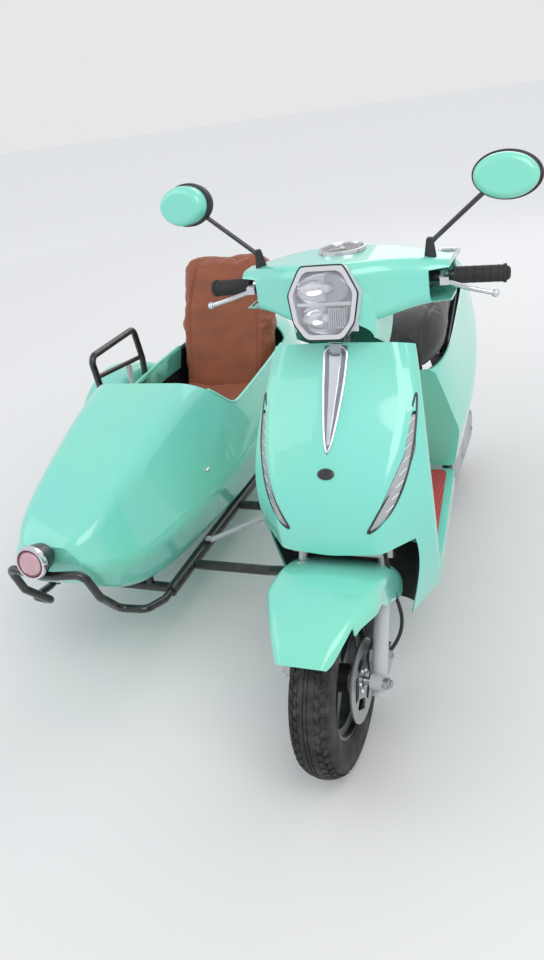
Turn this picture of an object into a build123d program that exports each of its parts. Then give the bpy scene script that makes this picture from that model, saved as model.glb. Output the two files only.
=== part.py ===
"""Step-through scooter with a boat-shaped sidecar on its right-hand side.

Millimetres, +Z up. The front faces -Y and the sidecar lies towards -X. Pieces are modelled about the
scooter: x = 0 is its centre plane, y = 0 its front axle, z = 0 the ground. They are moved to the
middle of the whole vehicle when they are written.
"""
from build123d import *
import os
from math import atan2, cos, degrees, radians, sin, sqrt, tan

# Whole vehicle
WHEELBASE = 1300
MIDDLE_X = -398          # middle of the vehicle's box, from the scooter's centre plane
MIDDLE_Y = 742           # middle of the vehicle's box, from the front axle
FIT = 0.3                # clearance between pieces that seat on each other
PANEL = 4                # wall of the moulded and pressed panels

# Wheels
TYRE_R = 215
TYRE_W = 90
RIM_R = 127
RIM_W = 66
HUB_R = 32
HUB_BORE = 9
SPOKES = 5
DISC_R = 92
DISC_T = 4
DISC_X = 58
SIDECAR_WHEEL_X = -1115
SIDECAR_WHEEL_Y = 1120

# Steering
RAKE = 26                # lean of the steering axis from upright
AXIS_Y = -80             # where the axis meets the ground
FORK_X = 90              # fork leg from the centre plane
LOWER_R = 17
UPPER_R = 13
STEM_R = 14
HEAD_R = 27
HEAD_WALL = 8
FENDER_CROWN = 262       # front fender, from the axle
FENDER_SHOULDER = 26
YOKE_BOTTOM = 498        # heights along the steering axis
YOKE_H = 26
HEAD_BOTTOM = 524.3
HEAD_TOP = 890
SHIELD_TOP = 948
NECK_GAP = 8
STEM_TOP = 1082

# Handlebar, mirrors and lamps
BAR_R = 11
BAR_HALF = 322
GRIP_L = 104
GRIP_R = 17
MIRROR_X = 335
MIRROR_Y = 366
MIRROR_Z = 1172
LAMP_TILT = 12
LAMP_Y = 202
LAMP_Z = 990
LAMP_DEPTH = 46

# Leg shield and floor
SHIELD_BOTTOM = 286
ARCH_TOP = 500           # lower edge of the front panel over the wheel
ARCH_R = 166
BACK_Y = 376             # rear wall of the inner shield at the floor
FLOOR_Z = 296
FLOOR_H = 46
MAT_T = 6
MAT_INSET = 20
FLOOR_END = 834         # where the rear body's front wall meets the floor
FLOOR_FRONT_HALF = 166
FLOOR_BACK_HALF = 124

# Rear body and saddle
BODY_FRONT = 690
BODY_LEAN = 22           # forward lean of the wall below the saddle
BODY_TOP = 660           # at the saddle's front
BODY_RISE = 4            # slope of the body's top under the saddle, degrees
SADDLE_FRONT = 664
SADDLE_H = 118
FRAME_TUBE_R = 14
RAIL_X = 95
RAIL_Z = 235.7
RAIL_RISE_Y = 868

# Sidecar
SIDECAR_X = -755
HOOD_BACK = 668
RIM_FRONT_Y = 822
RIM_Z = 500
RIM_BACK_Z = 528
SEAT_BACK_Y = 1222       # foot of the backrest's front face
SEAT_JOINT_Z = 420
SEAT_LEAN = 21
SEAT_BACK_T = 84
SEAT_TOP_Z = 845
SEAT_HALF = 200
CHASSIS_R = 17
CHASSIS_Z = 178
CHASSIS_FRONT = 285      # where the two rails begin
RAIL_HALF = 190          # rails, from the sidecar's centre plane
BUMPER_R = 11
HANDLE_R = 11
FENDER_R = 300
FENDER_HALF = 74
NOSE_LAMP = (SIDECAR_X, 30, 432)
NOSE_LAMP_R = 34

nodes = {}


def steer_point(x, back, s):
    """A point from the steering axis: x across, back behind the axis, s up along it."""
    y = AXIS_Y + s * sin(radians(RAKE)) + back * cos(radians(RAKE))
    return (x, y, s * cos(radians(RAKE)) - back * sin(radians(RAKE)))


def steer_plane(s, back=0, x=0):
    """A plane square to the steering axis, with its second axis pointing backwards."""
    lean = radians(RAKE)
    return Plane(origin=steer_point(x, back, s), x_dir=(1, 0, 0), z_dir=(0, sin(lean), cos(lean)))


def rounded(points, radii):
    """A closed outline through points, each corner rounded by its radius."""
    corners = []
    count = len(points)
    for i, radius in enumerate(radii):
        here = Vector(*points[i])
        back = (Vector(*points[i - 1]) - here).normalized()
        on = (Vector(*points[(i + 1) % count]) - here).normalized()
        half_angle = radians(back.get_angle(on)) / 2
        reach = radius / tan(half_angle)
        centre = here + (back + on).normalized() * (radius / sin(half_angle))
        middle = centre + (here - centre).normalized() * radius
        corners.append((here + back * reach, middle, here + on * reach))
    edges = []
    for i, (start, middle, end) in enumerate(corners):
        edges.append(Edge.make_three_point_arc(start, middle, end))
        edges.append(Edge.make_line(end, corners[(i + 1) % count][0]))
    face = Face(Wire(edges))
    return face if face.normal_at().Z > 0 else -face


def mirrored(half):
    """A half outline of (across, along) points, completed about the first coordinate's zero."""
    return half + [(-across, along) for across, along in reversed(half)]


def tube(points, radius, bend):
    """A round bar along straight runs joined by bends."""
    if len(points) == 2:
        path = Line(*points)
    else:
        path = FilletPolyline(*points, radius=bend)
    return sweep(Plane(origin=path @ 0, z_dir=path % 0) * Circle(radius), path=path)


def rod(a, b, radius):
    """A straight round bar from a to b."""
    way = Vector(*b) - Vector(*a)
    return extrude(Plane(origin=a, z_dir=way) * Circle(radius), way.length)


def across(x0, x1, y, z, radius):
    """A round bar along X."""
    return rod((x0, y, z), (x1, y, z), radius)


def block(x0, x1, y0, y1, z0, z1):
    """A block between two corners."""
    middle = ((x0 + x1) / 2, (y0 + y1) / 2, (z0 + z1) / 2)
    return Pos(*middle) * Box(abs(x1 - x0), abs(y1 - y0), abs(z1 - z0))


def side_slab(outline, x0, x1):
    """A (y, z) outline swept across from x0 to x1."""
    return extrude(Plane(origin=(x0, 0, 0), x_dir=(0, 1, 0), z_dir=(1, 0, 0)) * outline, x1 - x0)


def front_slab(outline, y0, y1):
    """An (x, z) outline swept backwards from y0 to y1."""
    return extrude(Plane(origin=(0, y0, 0), x_dir=(1, 0, 0), z_dir=(0, -1, 0)) * outline, -(y1 - y0))


def about_axle(profile, y, z, x=0):
    """A profile of (across, radius) points turned about an axle along X."""
    face = make_face(Plane(origin=(x, y, z), x_dir=(1, 0, 0), z_dir=(0, -1, 0)) * profile)
    return revolve(face, Axis((x, y, z), (1, 0, 0)))


def both_sides(shape):
    """A piece and its mirror image about the scooter's centre plane, as two solids."""
    return Compound([shape, mirror(shape, Plane.YZ)])


# Wheels


def tyre(x, y):
    half = TYRE_W / 2
    bead = RIM_R + 4
    profile = Polyline((-half + 10, bead), (half - 10, bead))
    profile += ThreePointArc((half - 10, bead), (half, (bead + TYRE_R) / 2), (half - 9, TYRE_R - 13))
    profile += ThreePointArc((half - 9, TYRE_R - 13), (0, TYRE_R), (-half + 9, TYRE_R - 13))
    profile += ThreePointArc((-half + 9, TYRE_R - 13), (-half, (bead + TYRE_R) / 2), (-half + 10, bead))
    return about_axle(profile, y, TYRE_R, x)


def rim(x, y):
    """A cast wheel: drop-centre barrel, hub with its bore, and tapered spokes."""
    half = RIM_W / 2
    seat = RIM_R + 4 - FIT
    barrel = Polyline(
        (-half, seat), (-half + 14, seat), (-half + 20, seat - 14), (half - 20, seat - 14),
        (half - 14, seat), (half, seat), (half, seat - 7), (half - 13, seat - 8),
        (half - 18, seat - 21), (-half + 18, seat - 21), (-half + 13, seat - 8), (-half, seat - 7),
        close=True,
    )
    solid = about_axle(barrel, y, TYRE_R, x)
    hub = across(x - half, x + half, y, TYRE_R, HUB_R)
    spoke_r = seat - 16
    arm = Polyline((-15, 0), (15, 0), (10, spoke_r), (-10, spoke_r), close=True)
    blade = extrude(Plane(origin=(x - 9, y, TYRE_R), x_dir=(0, 1, 0), z_dir=(1, 0, 0)) * make_face(arm), 18)
    for i in range(SPOKES):
        hub += Rot(0, 0, 0) * blade.rotate(Axis((x, y, TYRE_R), (1, 0, 0)), i * 360 / SPOKES)
    solid += hub
    return solid - across(x - half - 1, x + half + 1, y, TYRE_R, HUB_BORE)


def brake_disc():
    """Vented disc on the front wheel's left side, with its five-armed carrier."""
    disc = across(DISC_X - DISC_T / 2, DISC_X + DISC_T / 2, 0, TYRE_R, DISC_R)
    disc -= across(DISC_X - DISC_T, DISC_X + DISC_T, 0, TYRE_R, HUB_BORE + 6)
    slot = rounded([(-24, 38), (24, 38), (30, 62), (-30, 62)], [6, 6, 8, 8])
    slab = side_slab(Pos(0, 0) * slot, DISC_X - DISC_T, DISC_X + DISC_T)
    for i in range(5):
        turned = Pos(0, 0, TYRE_R) * slab
        disc -= turned.rotate(Axis((0, 0, TYRE_R), (1, 0, 0)), i * 72)
    spacer = across(RIM_W / 2 + FIT, DISC_X - DISC_T / 2, 0, TYRE_R, 26)
    spacer -= across(0, DISC_X, 0, TYRE_R, HUB_BORE)
    hole = across(DISC_X - DISC_T, DISC_X + DISC_T, 0, TYRE_R, HUB_BORE)
    return disc + spacer - hole


for name, x, y in (
    ("front", 0, 0),
    ("rear", 0, WHEELBASE),
    ("sidecar", SIDECAR_WHEEL_X, SIDECAR_WHEEL_Y),
):
    nodes[name + "_tyre"] = tyre(x, y)
    nodes[name + "_rim"] = rim(x, y)
nodes["brake_disc"] = brake_disc()

# Fork and front axle

AXLE_S = TYRE_R * cos(radians(RAKE)) - AXIS_Y * sin(radians(RAKE))
LOWER_TOP = AXLE_S + 205


def fork_lower(side):
    """A slider with the lug that carries the axle ahead of it."""
    leg = extrude(steer_plane(AXLE_S - 34, x=side * FORK_X) * Circle(LOWER_R), LOWER_TOP - AXLE_S + 34)
    leg += across(side * (FORK_X - 13), side * (FORK_X + 13), 0, TYRE_R, 17)
    leg -= across(side * (FORK_X - 30), side * (FORK_X + 30), 0, TYRE_R, HUB_BORE)
    return leg


def yoke():
    """Lower bridge, stem and the two polished fork tubes."""
    plate = rounded(mirrored([(FORK_X - 8, -26), (FORK_X + 24, -14), (FORK_X + 24, 16), (34, 30)]),
                    [10] * 8)
    bridge = extrude(steer_plane(YOKE_BOTTOM) * plate, YOKE_H)
    bridge += extrude(steer_plane(YOKE_BOTTOM) * Circle(STEM_R), STEM_TOP - YOKE_BOTTOM)
    for side in (-1, 1):
        start = LOWER_TOP + FIT
        bridge += extrude(steer_plane(start, x=side * FORK_X) * Circle(UPPER_R), YOKE_BOTTOM - start + 5)
    return bridge


nodes["fork_lowers"] = Compound([fork_lower(-1), fork_lower(1)])
nodes["fork_yoke"] = yoke()
axle = across(-FORK_X, FORK_X, 0, TYRE_R, HUB_BORE - FIT)
for side in (-1, 1):
    nut = side * (FORK_X + LOWER_R + FIT)
    axle += across(side * FORK_X, nut + side * 8, 0, TYRE_R, HUB_BORE - FIT)
    axle += across(nut, nut + side * 8, 0, TYRE_R, 13)
nodes["front_axle"] = axle


def caliper():
    """Caliper behind the left slider, astride the disc."""
    body = rounded([(46, -34), (104, -30), (108, 22), (60, 30), (44, 10)], [8, 10, 12, 10, 6])
    clamp = side_slab(Pos(0, TYRE_R + 8) * body, DISC_X - 14, FORK_X + 10)
    clamp -= side_slab(Pos(0, TYRE_R) * Circle(DISC_R + 4), DISC_X - DISC_T / 2 - 2, DISC_X + DISC_T / 2 + 2)
    clamp -= extrude(steer_plane(AXLE_S - 60, x=FORK_X) * Circle(LOWER_R + FIT), 300)
    return clamp


nodes["brake_caliper"] = caliper()


def fender_body(inset):
    """The fender's closed form: a domed crown about the axle, cut to its tapered plan."""
    crown = FENDER_CROWN - inset
    edge = FENDER_CROWN + 10
    profile = Polyline((-edge / 2, 20), (-edge / 2, crown - 16))
    profile += ThreePointArc((-edge / 2, crown - 16), (0, crown), (edge / 2, crown - 16))
    profile += Polyline((edge / 2, crown - 16), (edge / 2, 20), (-edge / 2, 20))
    form = about_axle(profile, 0, TYRE_R)
    # half width, distance back from the axle
    plan = [(48, -194), (82, -122), (118, -30), (114, 210)]
    half = [(x - inset, y + (inset if y < -150 else -inset if y > 150 else 0)) for x, y in plan]
    form &= extrude(rounded(mirrored(half), [30, 60, 60, 20, 20, 60, 60, 30]), 700)
    form &= block(-200, 200, -300, 300, TYRE_R + 45, 700)
    rims = [e for e in form.edges() if e.center().Z > TYRE_R + 46 and abs(radius_from_axle(e) - FENDER_CROWN + 12) < 16]
    return fillet(rims, FENDER_SHOULDER - inset)


def radius_from_axle(edge):
    return sqrt(edge.center().Y ** 2 + (edge.center().Z - TYRE_R) ** 2)


def front_fender():
    """Deep fender round the fork legs, its lower edge swept up to the legs and down behind them."""
    shell = fender_body(0) - fender_body(PANEL)
    keep = rounded(
        [(-205, 420), (-176, 390), (-86, 426), (4, 424), (30, 398), (186, 316), (190, 470), (120, 560), (-160, 560)],
        [10, 12, 40, 30, 12, 16, 20, 20, 30],
    )
    shell &= side_slab(keep, -200, 200)
    nose = rounded(mirrored([(34, 386), (60, 398), (92, 450), (150, 520), (150, 620)]), [20, 24, 60, 40, 5, 5, 40, 60, 24, 20])
    shell -= block(-200, 200, -300, -100, 300, 610) - front_slab(nose, -300, -100)
    for side in (-1, 1):
        shell -= extrude(steer_plane(AXLE_S, x=side * FORK_X) * Circle(UPPER_R + FIT), 400)
    return shell


nodes["front_fender"] = front_fender()

# Handlebar, cowl, headlight, mirrors

BAR_Y = steer_point(0, 0, STEM_TOP)[1]
BAR_Z = steer_point(0, 0, STEM_TOP)[2] + BAR_R
bar_points = [
    (-BAR_HALF, BAR_Y + 16, BAR_Z - 8), (-190, BAR_Y - 8, BAR_Z), (190, BAR_Y - 8, BAR_Z),
    (BAR_HALF, BAR_Y + 16, BAR_Z - 8),
]
nodes["handlebar"] = tube(bar_points, BAR_R, 60)
nodes["fork_yoke"] -= across(-60, 60, BAR_Y - 8, BAR_Z, BAR_R + FIT)


def neck(inset, low):
    """The cowl's neck, standing round the stem."""
    faces = []
    # height along the axis, half width, front, back
    for s, half, front, back in ((low, 84, -120, 46), (1012, 90, -140, 52), (1070, 88, -142, 40)):
        h = half - inset
        outline = [(-h, front + inset), (h, front + inset), (h, back - inset), (-h, back - inset)]
        faces.append(steer_plane(s) * rounded(outline, [34, 34, 24, 24]))
    return loft(faces)


def wings(inset):
    """The cowl's two wings, by sections along X."""
    faces = []
    # x, front, back, bottom, top
    table = ((224, 334, 424, 940, 1024), (165, 308, 428, 940, 1036), (95, 262, 430, 930, 1048), (0, 232, 432, 920, 1052))
    rows = [(-x, f, b, z0, z1) for x, f, b, z0, z1 in table] + list(reversed(table[:-1]))
    for x, front, back, low, high in rows:
        plane = Plane(origin=(x * (1 - inset / 224), 0, 0), x_dir=(0, 1, 0), z_dir=(1, 0, 0))
        f, b, z0, z1 = front + inset, back - inset, low + inset, high - inset
        faces.append(plane * rounded([(f, z0), (b, z0), (b, z1), (f, z1)], [26, 20, 26, 30]))
    return loft(faces)


def lamp_plane(depth=0):
    """The headlight's face, leaning back; depth goes into the cowl."""
    lean = radians(LAMP_TILT)
    out = Vector(0, -cos(lean), sin(lean))
    origin = Vector(0, LAMP_Y, LAMP_Z) - out * depth
    return Plane(origin=origin, x_dir=(1, 0, 0), z_dir=out)


def lamp_outline(grow=0):
    """The lamp's eight-sided barrel outline, wider above its middle."""
    # half width, height
    half = [(43 + grow * 0.6, 71 + grow), (71 + grow, 19), (62 + grow, -37), (38 + grow * 0.6, -70 - grow)]
    points = [(x, z) for x, z in half] + [(-x, z) for x, z in reversed(half)]
    return rounded(points, [22, 26, 26, 22, 22, 26, 26, 22])


def cowl():
    shell = wings(0) + neck(0, SHIELD_TOP + NECK_GAP)
    shell -= wings(PANEL) + neck(PANEL, SHIELD_TOP - 20)
    shell -= extrude(lamp_plane(-80) * lamp_outline(FIT), -80 - LAMP_DEPTH - 30)
    for side in (-1, 1):
        shell -= block(side * 186, side * 240, 290, BAR_Y + 22, 946, 1012)
    shell -= extrude(Plane(origin=(0, BAR_Y - 24, 1000)) * Circle(46), 90)
    for side in (-1, 1):
        shell += block(side * 112, side * 126, BAR_Y - 22, BAR_Y + 6, 938, BAR_Z - 1)
    return shell - across(-130, 130, BAR_Y - 8, BAR_Z, BAR_R + FIT)


nodes["handlebar_cowl"] = cowl()


def headlight():
    """Bezel ring with the reflector bowl behind it."""
    ring = extrude(lamp_plane() * lamp_outline(), -LAMP_DEPTH)
    ring -= extrude(lamp_plane(-1) * lamp_outline(-9), -(LAMP_DEPTH - 5))
    return ring


nodes["headlight_bezel"] = headlight()
nodes["headlight_lens"] = extrude(lamp_plane(3) * lamp_outline(-9 - FIT), -4)
nodes["instrument"] = extrude(Plane(origin=(0, BAR_Y - 24, 1026)) * Circle(46 - FIT), 30)


def bar_end(side, back_from_end):
    """A point on the handlebar's outer run, back_from_end inward of its end."""
    end = Vector(side * BAR_HALF, BAR_Y + 16, BAR_Z - 8)
    inner = Vector(side * 190, BAR_Y - 8, BAR_Z)
    way = (inner - end).normalized()
    return end + way * back_from_end, way


def grip(side):
    start, way = bar_end(side, -4)
    body = extrude(Plane(origin=start, z_dir=way) * Circle(GRIP_R), GRIP_L)
    body += extrude(Plane(origin=start, z_dir=way) * Circle(GRIP_R + 2), 6)
    return body - extrude(Plane(origin=start + way * 4, z_dir=way) * Circle(BAR_R + FIT), GRIP_L + 10)


def lever(side):
    """Perch on the bar and its blade with a ball end."""
    start, way = bar_end(side, GRIP_L + 8)
    perch = extrude(Plane(origin=start, z_dir=way) * Circle(BAR_R + 8), 16)
    perch += block(start.X - 9, start.X + 9, start.Y - 44, start.Y, start.Z - 8, start.Z + 8)
    blade = tube([(start.X, start.Y - 36, start.Z - 2), (start.X + side * 46, start.Y - 48, start.Z - 14),
                  (start.X + side * 100, start.Y - 46, start.Z - 28)], 5, 60)
    tip = Pos(start.X + side * 100, start.Y - 46, start.Z - 28) * Sphere(8)
    return perch + blade + tip - extrude(Plane(origin=start - way * 20, z_dir=way) * Circle(BAR_R + FIT), 80)


def mirror_head(side):
    turn = radians(-16 if side < 0 else 0)
    plane = Plane(origin=(side * MIRROR_X, MIRROR_Y, MIRROR_Z), x_dir=(cos(turn), sin(turn), -0.1 * side),
                  z_dir=(sin(turn), -cos(turn), 0.1))
    body = extrude(plane * Ellipse(60, 41), 34)
    return fillet(body.edges().filter_by(GeomType.ELLIPSE).sort_by(Axis.Y)[0], 14)


def mirror_stem(side):
    foot = (side * 184, 362, 1029)
    return tube([foot, (side * 186, 358, 1058), (side * (MIRROR_X - 20), MIRROR_Y - 8, MIRROR_Z - 8)], 5, 30)


nodes["grips"] = Compound([grip(-1), grip(1)])
nodes["brake_levers"] = Compound([lever(-1), lever(1)])
nodes["mirror_heads"] = Compound([mirror_head(-1), mirror_head(1)])
cowl_form = wings(-FIT)
nodes["mirror_stems"] = Compound([mirror_stem(side) - mirror_head(side) - cowl_form for side in (-1, 1)])

# Leg shield: sections at a height, each with its front, lamp edge, side and back


def shield_body(inset):
    # height, front y, lamp half width, lamp y, side half width, side y, back half width, back y
    table = (
        (280, 60, 110, 76, 180, 300, 134, 376),
        (400, 50, 108, 66, 195, 226, 140, 378),
        (500, 50, 106, 64, 201, 184, 148, 380),
        (620, 70, 120, 86, 198, 174, 150, 385),
        (735, 138, 140, 172, 184, 212, 142, 394),
        (820, 208, 134, 238, 170, 262, 128, 403),
        (920, 276, 112, 300, 142, 324, 108, 414),
    )
    faces = []
    for z, front, lamp_x, lamp_y, side_x, side_y, back_x, back_y in table:
        half = [(0, front + inset), (lamp_x - inset, lamp_y + inset), (side_x - inset, side_y),
                (back_x - inset, back_y - inset)]
        points = half + [(-x, y) for x, y in reversed(half[1:])]
        outline = rounded(points, [160, 40, 30, 34, 34, 30, 40])
        faces.append(Plane(origin=(0, 0, z)) * outline)
    return loft(faces)


def beyond_plane(point, normal, size=3000):
    """A large block on the side of a plane that its normal points to."""
    return extrude(Plane(origin=point, z_dir=normal) * Rectangle(size, size), size)


def shield_shell():
    shell = shield_body(0) - (shield_body(PANEL) - beyond_plane(steer_point(0, 0, SHIELD_TOP - PANEL), (0, sin(radians(RAKE)), cos(radians(RAKE)))))
    shell -= beyond_plane(steer_point(0, 0, SHIELD_TOP), (0, sin(radians(RAKE)), cos(radians(RAKE))))
    shell -= block(-400, 400, -100, 600, 0, SHIELD_BOTTOM)
    shell -= extrude(steer_plane(0) * Circle(ARCH_R), 1000) & block(-400, 400, -400, 600, 0, ARCH_TOP)
    shell -= block(-150, 150, -100, 150, 0, ARCH_TOP)
    shell -= extrude(steer_plane(SHIELD_TOP - 60) * Circle(STEM_R + 22), 100)
    return shell


SPLIT = Plane(origin=(0, 300, 300), x_dir=(1, 0, 0), z_dir=(0, cos(radians(8)), -sin(radians(8))))


def signal_outline(side, grow):
    """A slender lamp, pointed below, as (x, z) points up its outer edge and down its inner one."""
    points = [(80 - 3.1 * grow, 546 - 3.8 * grow), (134 + grow, 590), (170 + grow, 690), (165 + grow, 802 + grow),
              (152 - grow, 690), (110 - grow, 600)]
    return rounded([(side * x, z) for x, z in points], [3, 60, 60, 4, 60, 60])


shield = shield_shell()
lenses = []
for side in (-1, 1):
    lenses.append(shield & front_slab(signal_outline(side, -0.6), -60, 290))
    shield -= front_slab(signal_outline(side, 0.4), -60, 292)
nodes["signal_lamps"] = Compound(lenses)
nodes["leg_shield"] = split(shield, SPLIT, keep=Keep.BOTTOM)
nodes["inner_shield"] = split(shield, SPLIT.offset(FIT), keep=Keep.TOP)

tie = rounded([(-13, 889), (13, 889), (9, 820), (2, 718), (-2, 718), (-9, 820)], [2, 2, 30, 1.5, 1.5, 30])
tie = front_slab(tie, 0, 400)
nodes["chrome_tie"] = tie & (shield_body(-5) - shield_body(-FIT))

liner = extrude(steer_plane(390) * Circle(ARCH_R + 4), 130) - extrude(steer_plane(200) * Circle(ARCH_R + 1), 500)
liner &= block(-400, 400, 150, 400, SHIELD_BOTTOM, 620)
nodes["wheel_arch_liner"] = liner & shield_body(PANEL + FIT)

# Floor


def floor_outline(grow):
    # y, half width
    half = [(FLOOR_FRONT_HALF + grow, BACK_Y + 0.6 - grow), (FLOOR_BACK_HALF + grow, FLOOR_END + grow)]
    return rounded(mirrored(half), [20, 20, 20, 20])


tray = extrude(Plane(origin=(0, 0, FLOOR_Z - FLOOR_H)) * floor_outline(0), FLOOR_H)
tray -= extrude(Plane(origin=(0, 0, FLOOR_Z - FLOOR_H - 1)) * floor_outline(-PANEL), FLOOR_H - PANEL)
nodes["floor_pan"] = tray
nodes["floor_mat"] = extrude(Plane(origin=(0, 0, FLOOR_Z)) * floor_outline(-MAT_INSET), MAT_T)

# Rear body: sections at a distance back


def rear_body_solid(inset):
    # y, lower half width, middle half width, upper half width, bottom z, middle z, top z
    table = (
        (660, 100, 128, 104, 300, 450, 650),
        (780, 118, 156, 122, 300, 450, 690),
        (960, 132, 166, 114, 340, 484, 708),
        (1180, 118, 152, 94, 404, 530, 722),
        (1380, 90, 118, 74, 470, 584, 732),
        (1540, 50, 68, 48, 560, 640, 728),
    )
    faces = []
    for y, low, mid, high, z0, z1, z2 in table:
        plane = Plane(origin=(0, y, 0), x_dir=(1, 0, 0), z_dir=(0, -1, 0))
        half = [(low - inset, z0 + inset), (mid - inset, z1), (high - inset, z2 - inset)]
        faces.append(plane * rounded(mirrored(half), [r - inset for r in (24, 120, 30, 30, 120, 24)]))
    solid = loft(faces)
    if inset > 0:
        solid &= block(-400, 400, table[0][0] + inset, table[-1][0] - inset, 100, 900)
    return solid


rise = radians(BODY_RISE)
BODY_SLOPE = (0, -sin(rise), cos(rise))


def ahead_of_wall(inset):
    """Everything in front of the leaning wall below the saddle."""
    lean = radians(BODY_LEAN)
    return beyond_plane((0, FLOOR_END + FIT + inset, FLOOR_Z), (0, -cos(lean), -sin(lean)))


under = side_slab(make_face(Polyline((830, 200), (1500, 200), (1500, 562), (1380, 506), (1180, 438), (960, 372), (830, 340),
                                     close=True)), -200, 200)
under &= extrude(make_face(Polyline(*mirrored([(114, 830), (118, 960), (110, 1180), (84, 1380), (44, 1490)]), close=True)), 700)
body = rear_body_solid(0) - ahead_of_wall(0) - (rear_body_solid(PANEL) - ahead_of_wall(PANEL))
body -= under - ahead_of_wall(PANEL)
body -= beyond_plane((0, BODY_FRONT, BODY_TOP), BODY_SLOPE) - block(-400, 400, 1420, 1700, 0, 1200)
nodes["rear_body"] = body


def saddle_solid():
    # distance from the saddle's front, half width below, half width above, height
    table = ((0, 84, 66, 96), (120, 126, 104, SADDLE_H + 10), (330, 110, 92, SADDLE_H - 14), (560, 92, 74, SADDLE_H - 38),
             (740, 70, 54, SADDLE_H - 62))
    faces = []
    for along, low, high, tall in table:
        y = SADDLE_FRONT + along
        z = BODY_TOP + (y - BODY_FRONT) * tan(rise) + FIT
        plane = Plane(origin=(0, y, z), x_dir=(1, 0, 0), z_dir=(0, -1, 0))
        half = [(low, 0), (low + 4, tall * 0.4), (high, tall)]
        top, side = tall * 0.3, tall * 0.5
        faces.append(plane * rounded(mirrored(half), [6, side, top, top, side, 6]))
    return loft(faces)


nodes["saddle"] = saddle_solid() - block(-400, 400, 1420, 1700, 0, 1200)

# Frame tubes

def rear_rail(side):
    """One side of the frame from the end of the floor up under the saddle."""
    return [(side * RAIL_X, RAIL_RISE_Y, RAIL_Z), (side * RAIL_X, 900, 500), (side * RAIL_X, 980, 620),
            (side * 56, 1400, 662)]


down = [steer_point(0, 12, 640), (0, 330, 500), (0, 342, 300), (0, 352, RAIL_Z + 6)]
frame = tube(down, 18, 40)
frame += extrude(steer_plane(HEAD_BOTTOM) * Circle(HEAD_R), HEAD_TOP - HEAD_BOTTOM)
frame += across(-RAIL_X, RAIL_X, 352, RAIL_Z, 18)
for side in (-1, 1):
    frame += tube([(side * RAIL_X, 352, RAIL_Z)] + rear_rail(side), FRAME_TUBE_R, 40)
frame += across(-RAIL_X, RAIL_X, 560, RAIL_Z, 12)
frame += across(-RAIL_X, RAIL_X, 980, 620, 12)
frame += across(-56, 56, 1392, 661, 12)
frame += across(-RAIL_X, RAIL_X, 880, 330, 10)
frame -= extrude(steer_plane(HEAD_BOTTOM + 14) * Circle(HEAD_R - HEAD_WALL), HEAD_TOP - HEAD_BOTTOM - 28)
frame -= extrude(steer_plane(HEAD_BOTTOM - 5) * Circle(STEM_R + FIT), HEAD_TOP - HEAD_BOTTOM + 10)
strut = block(-14, 14, 60, steer_point(0, 0, 778)[1] - HEAD_R + 1, 690, 712)
frame += strut & shield_body(PANEL + FIT)
nodes["frame_tubes"] = frame

# Drive unit: one plain block with its transmission arm, and the silencer

unit = block(-74, 66, 912, 1064, 190, 400)
arm = rounded([(950, 160), (1340, 170), (1352, 262), (1180, 290), (950, 300)], [30, 40, 40, 60, 30])
unit += side_slab(arm, 56, 98)
unit += side_slab(rounded([(1000, 190), (1330, 195), (1330, 240), (1000, 250)], [10, 20, 20, 10]), -86, -74)
unit = fillet(unit.edges().filter_by(Axis.X).group_by(Axis.Y)[0], 20)
unit += across(-56, 56, 880, 330, 24)
unit += block(-56, 56, 880, 920, 318, 342)
unit -= across(-60, 60, 880, 330, 10 + FIT)
unit += across(-84, 90, WHEELBASE, TYRE_R, HUB_BORE - FIT)
unit += across(-140, -80, 1120, 233, 12)
nodes["drive_unit"] = unit
silencer = extrude(Plane(origin=(-172, 1010, 220), z_dir=(0, 1, 0.12)) * Circle(48), 400)
nodes["drive_unit"] = unit - extrude(Plane(origin=(-172, 1005, 219.4), z_dir=(0, 1, 0.12)) * Circle(48 + FIT), 420)
pipe = tube([(-74 - FIT, 950, 216), (-172, 950, 216), (-172, 1020, 221)], 14, 30)
nodes["silencer"] = silencer + pipe
shocks = []
for side in (-1, 1):
    upper = tube(rear_rail(side), FRAME_TUBE_R + FIT, 40)
    shocks.append(rod((side * 79, 1290, 234), (side * 69, 1262, 648), 19) - upper - unit)
nodes["rear_shocks"] = Compound(shocks)
guard = about_axle(Polyline((-62, 246), (62, 246), (62, 250), (-62, 250), close=True), WHEELBASE, TYRE_R)
guard &= block(-70, 70, WHEELBASE + 20, 1700, 250, 480)
guard += block(-12, 12, 1384, 1400, 446, 649 - FIT)
nodes["rear_mudguard"] = guard
nodes["tail_lamp"] = front_slab(Pos(0, 660) * RectangleRounded(96, 44, 12), 1540 + FIT, 1562)
rail_loop = [(-40, 1440, 730), (-40, 1470, 752), (-40, 1580, 752), (40, 1580, 752), (40, 1470, 752), (40, 1440, 730)]
nodes["grab_rail"] = tube(rail_loop, 8, 20) - rear_body_solid(-FIT)

# Sidecar body: sections at a distance back


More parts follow.
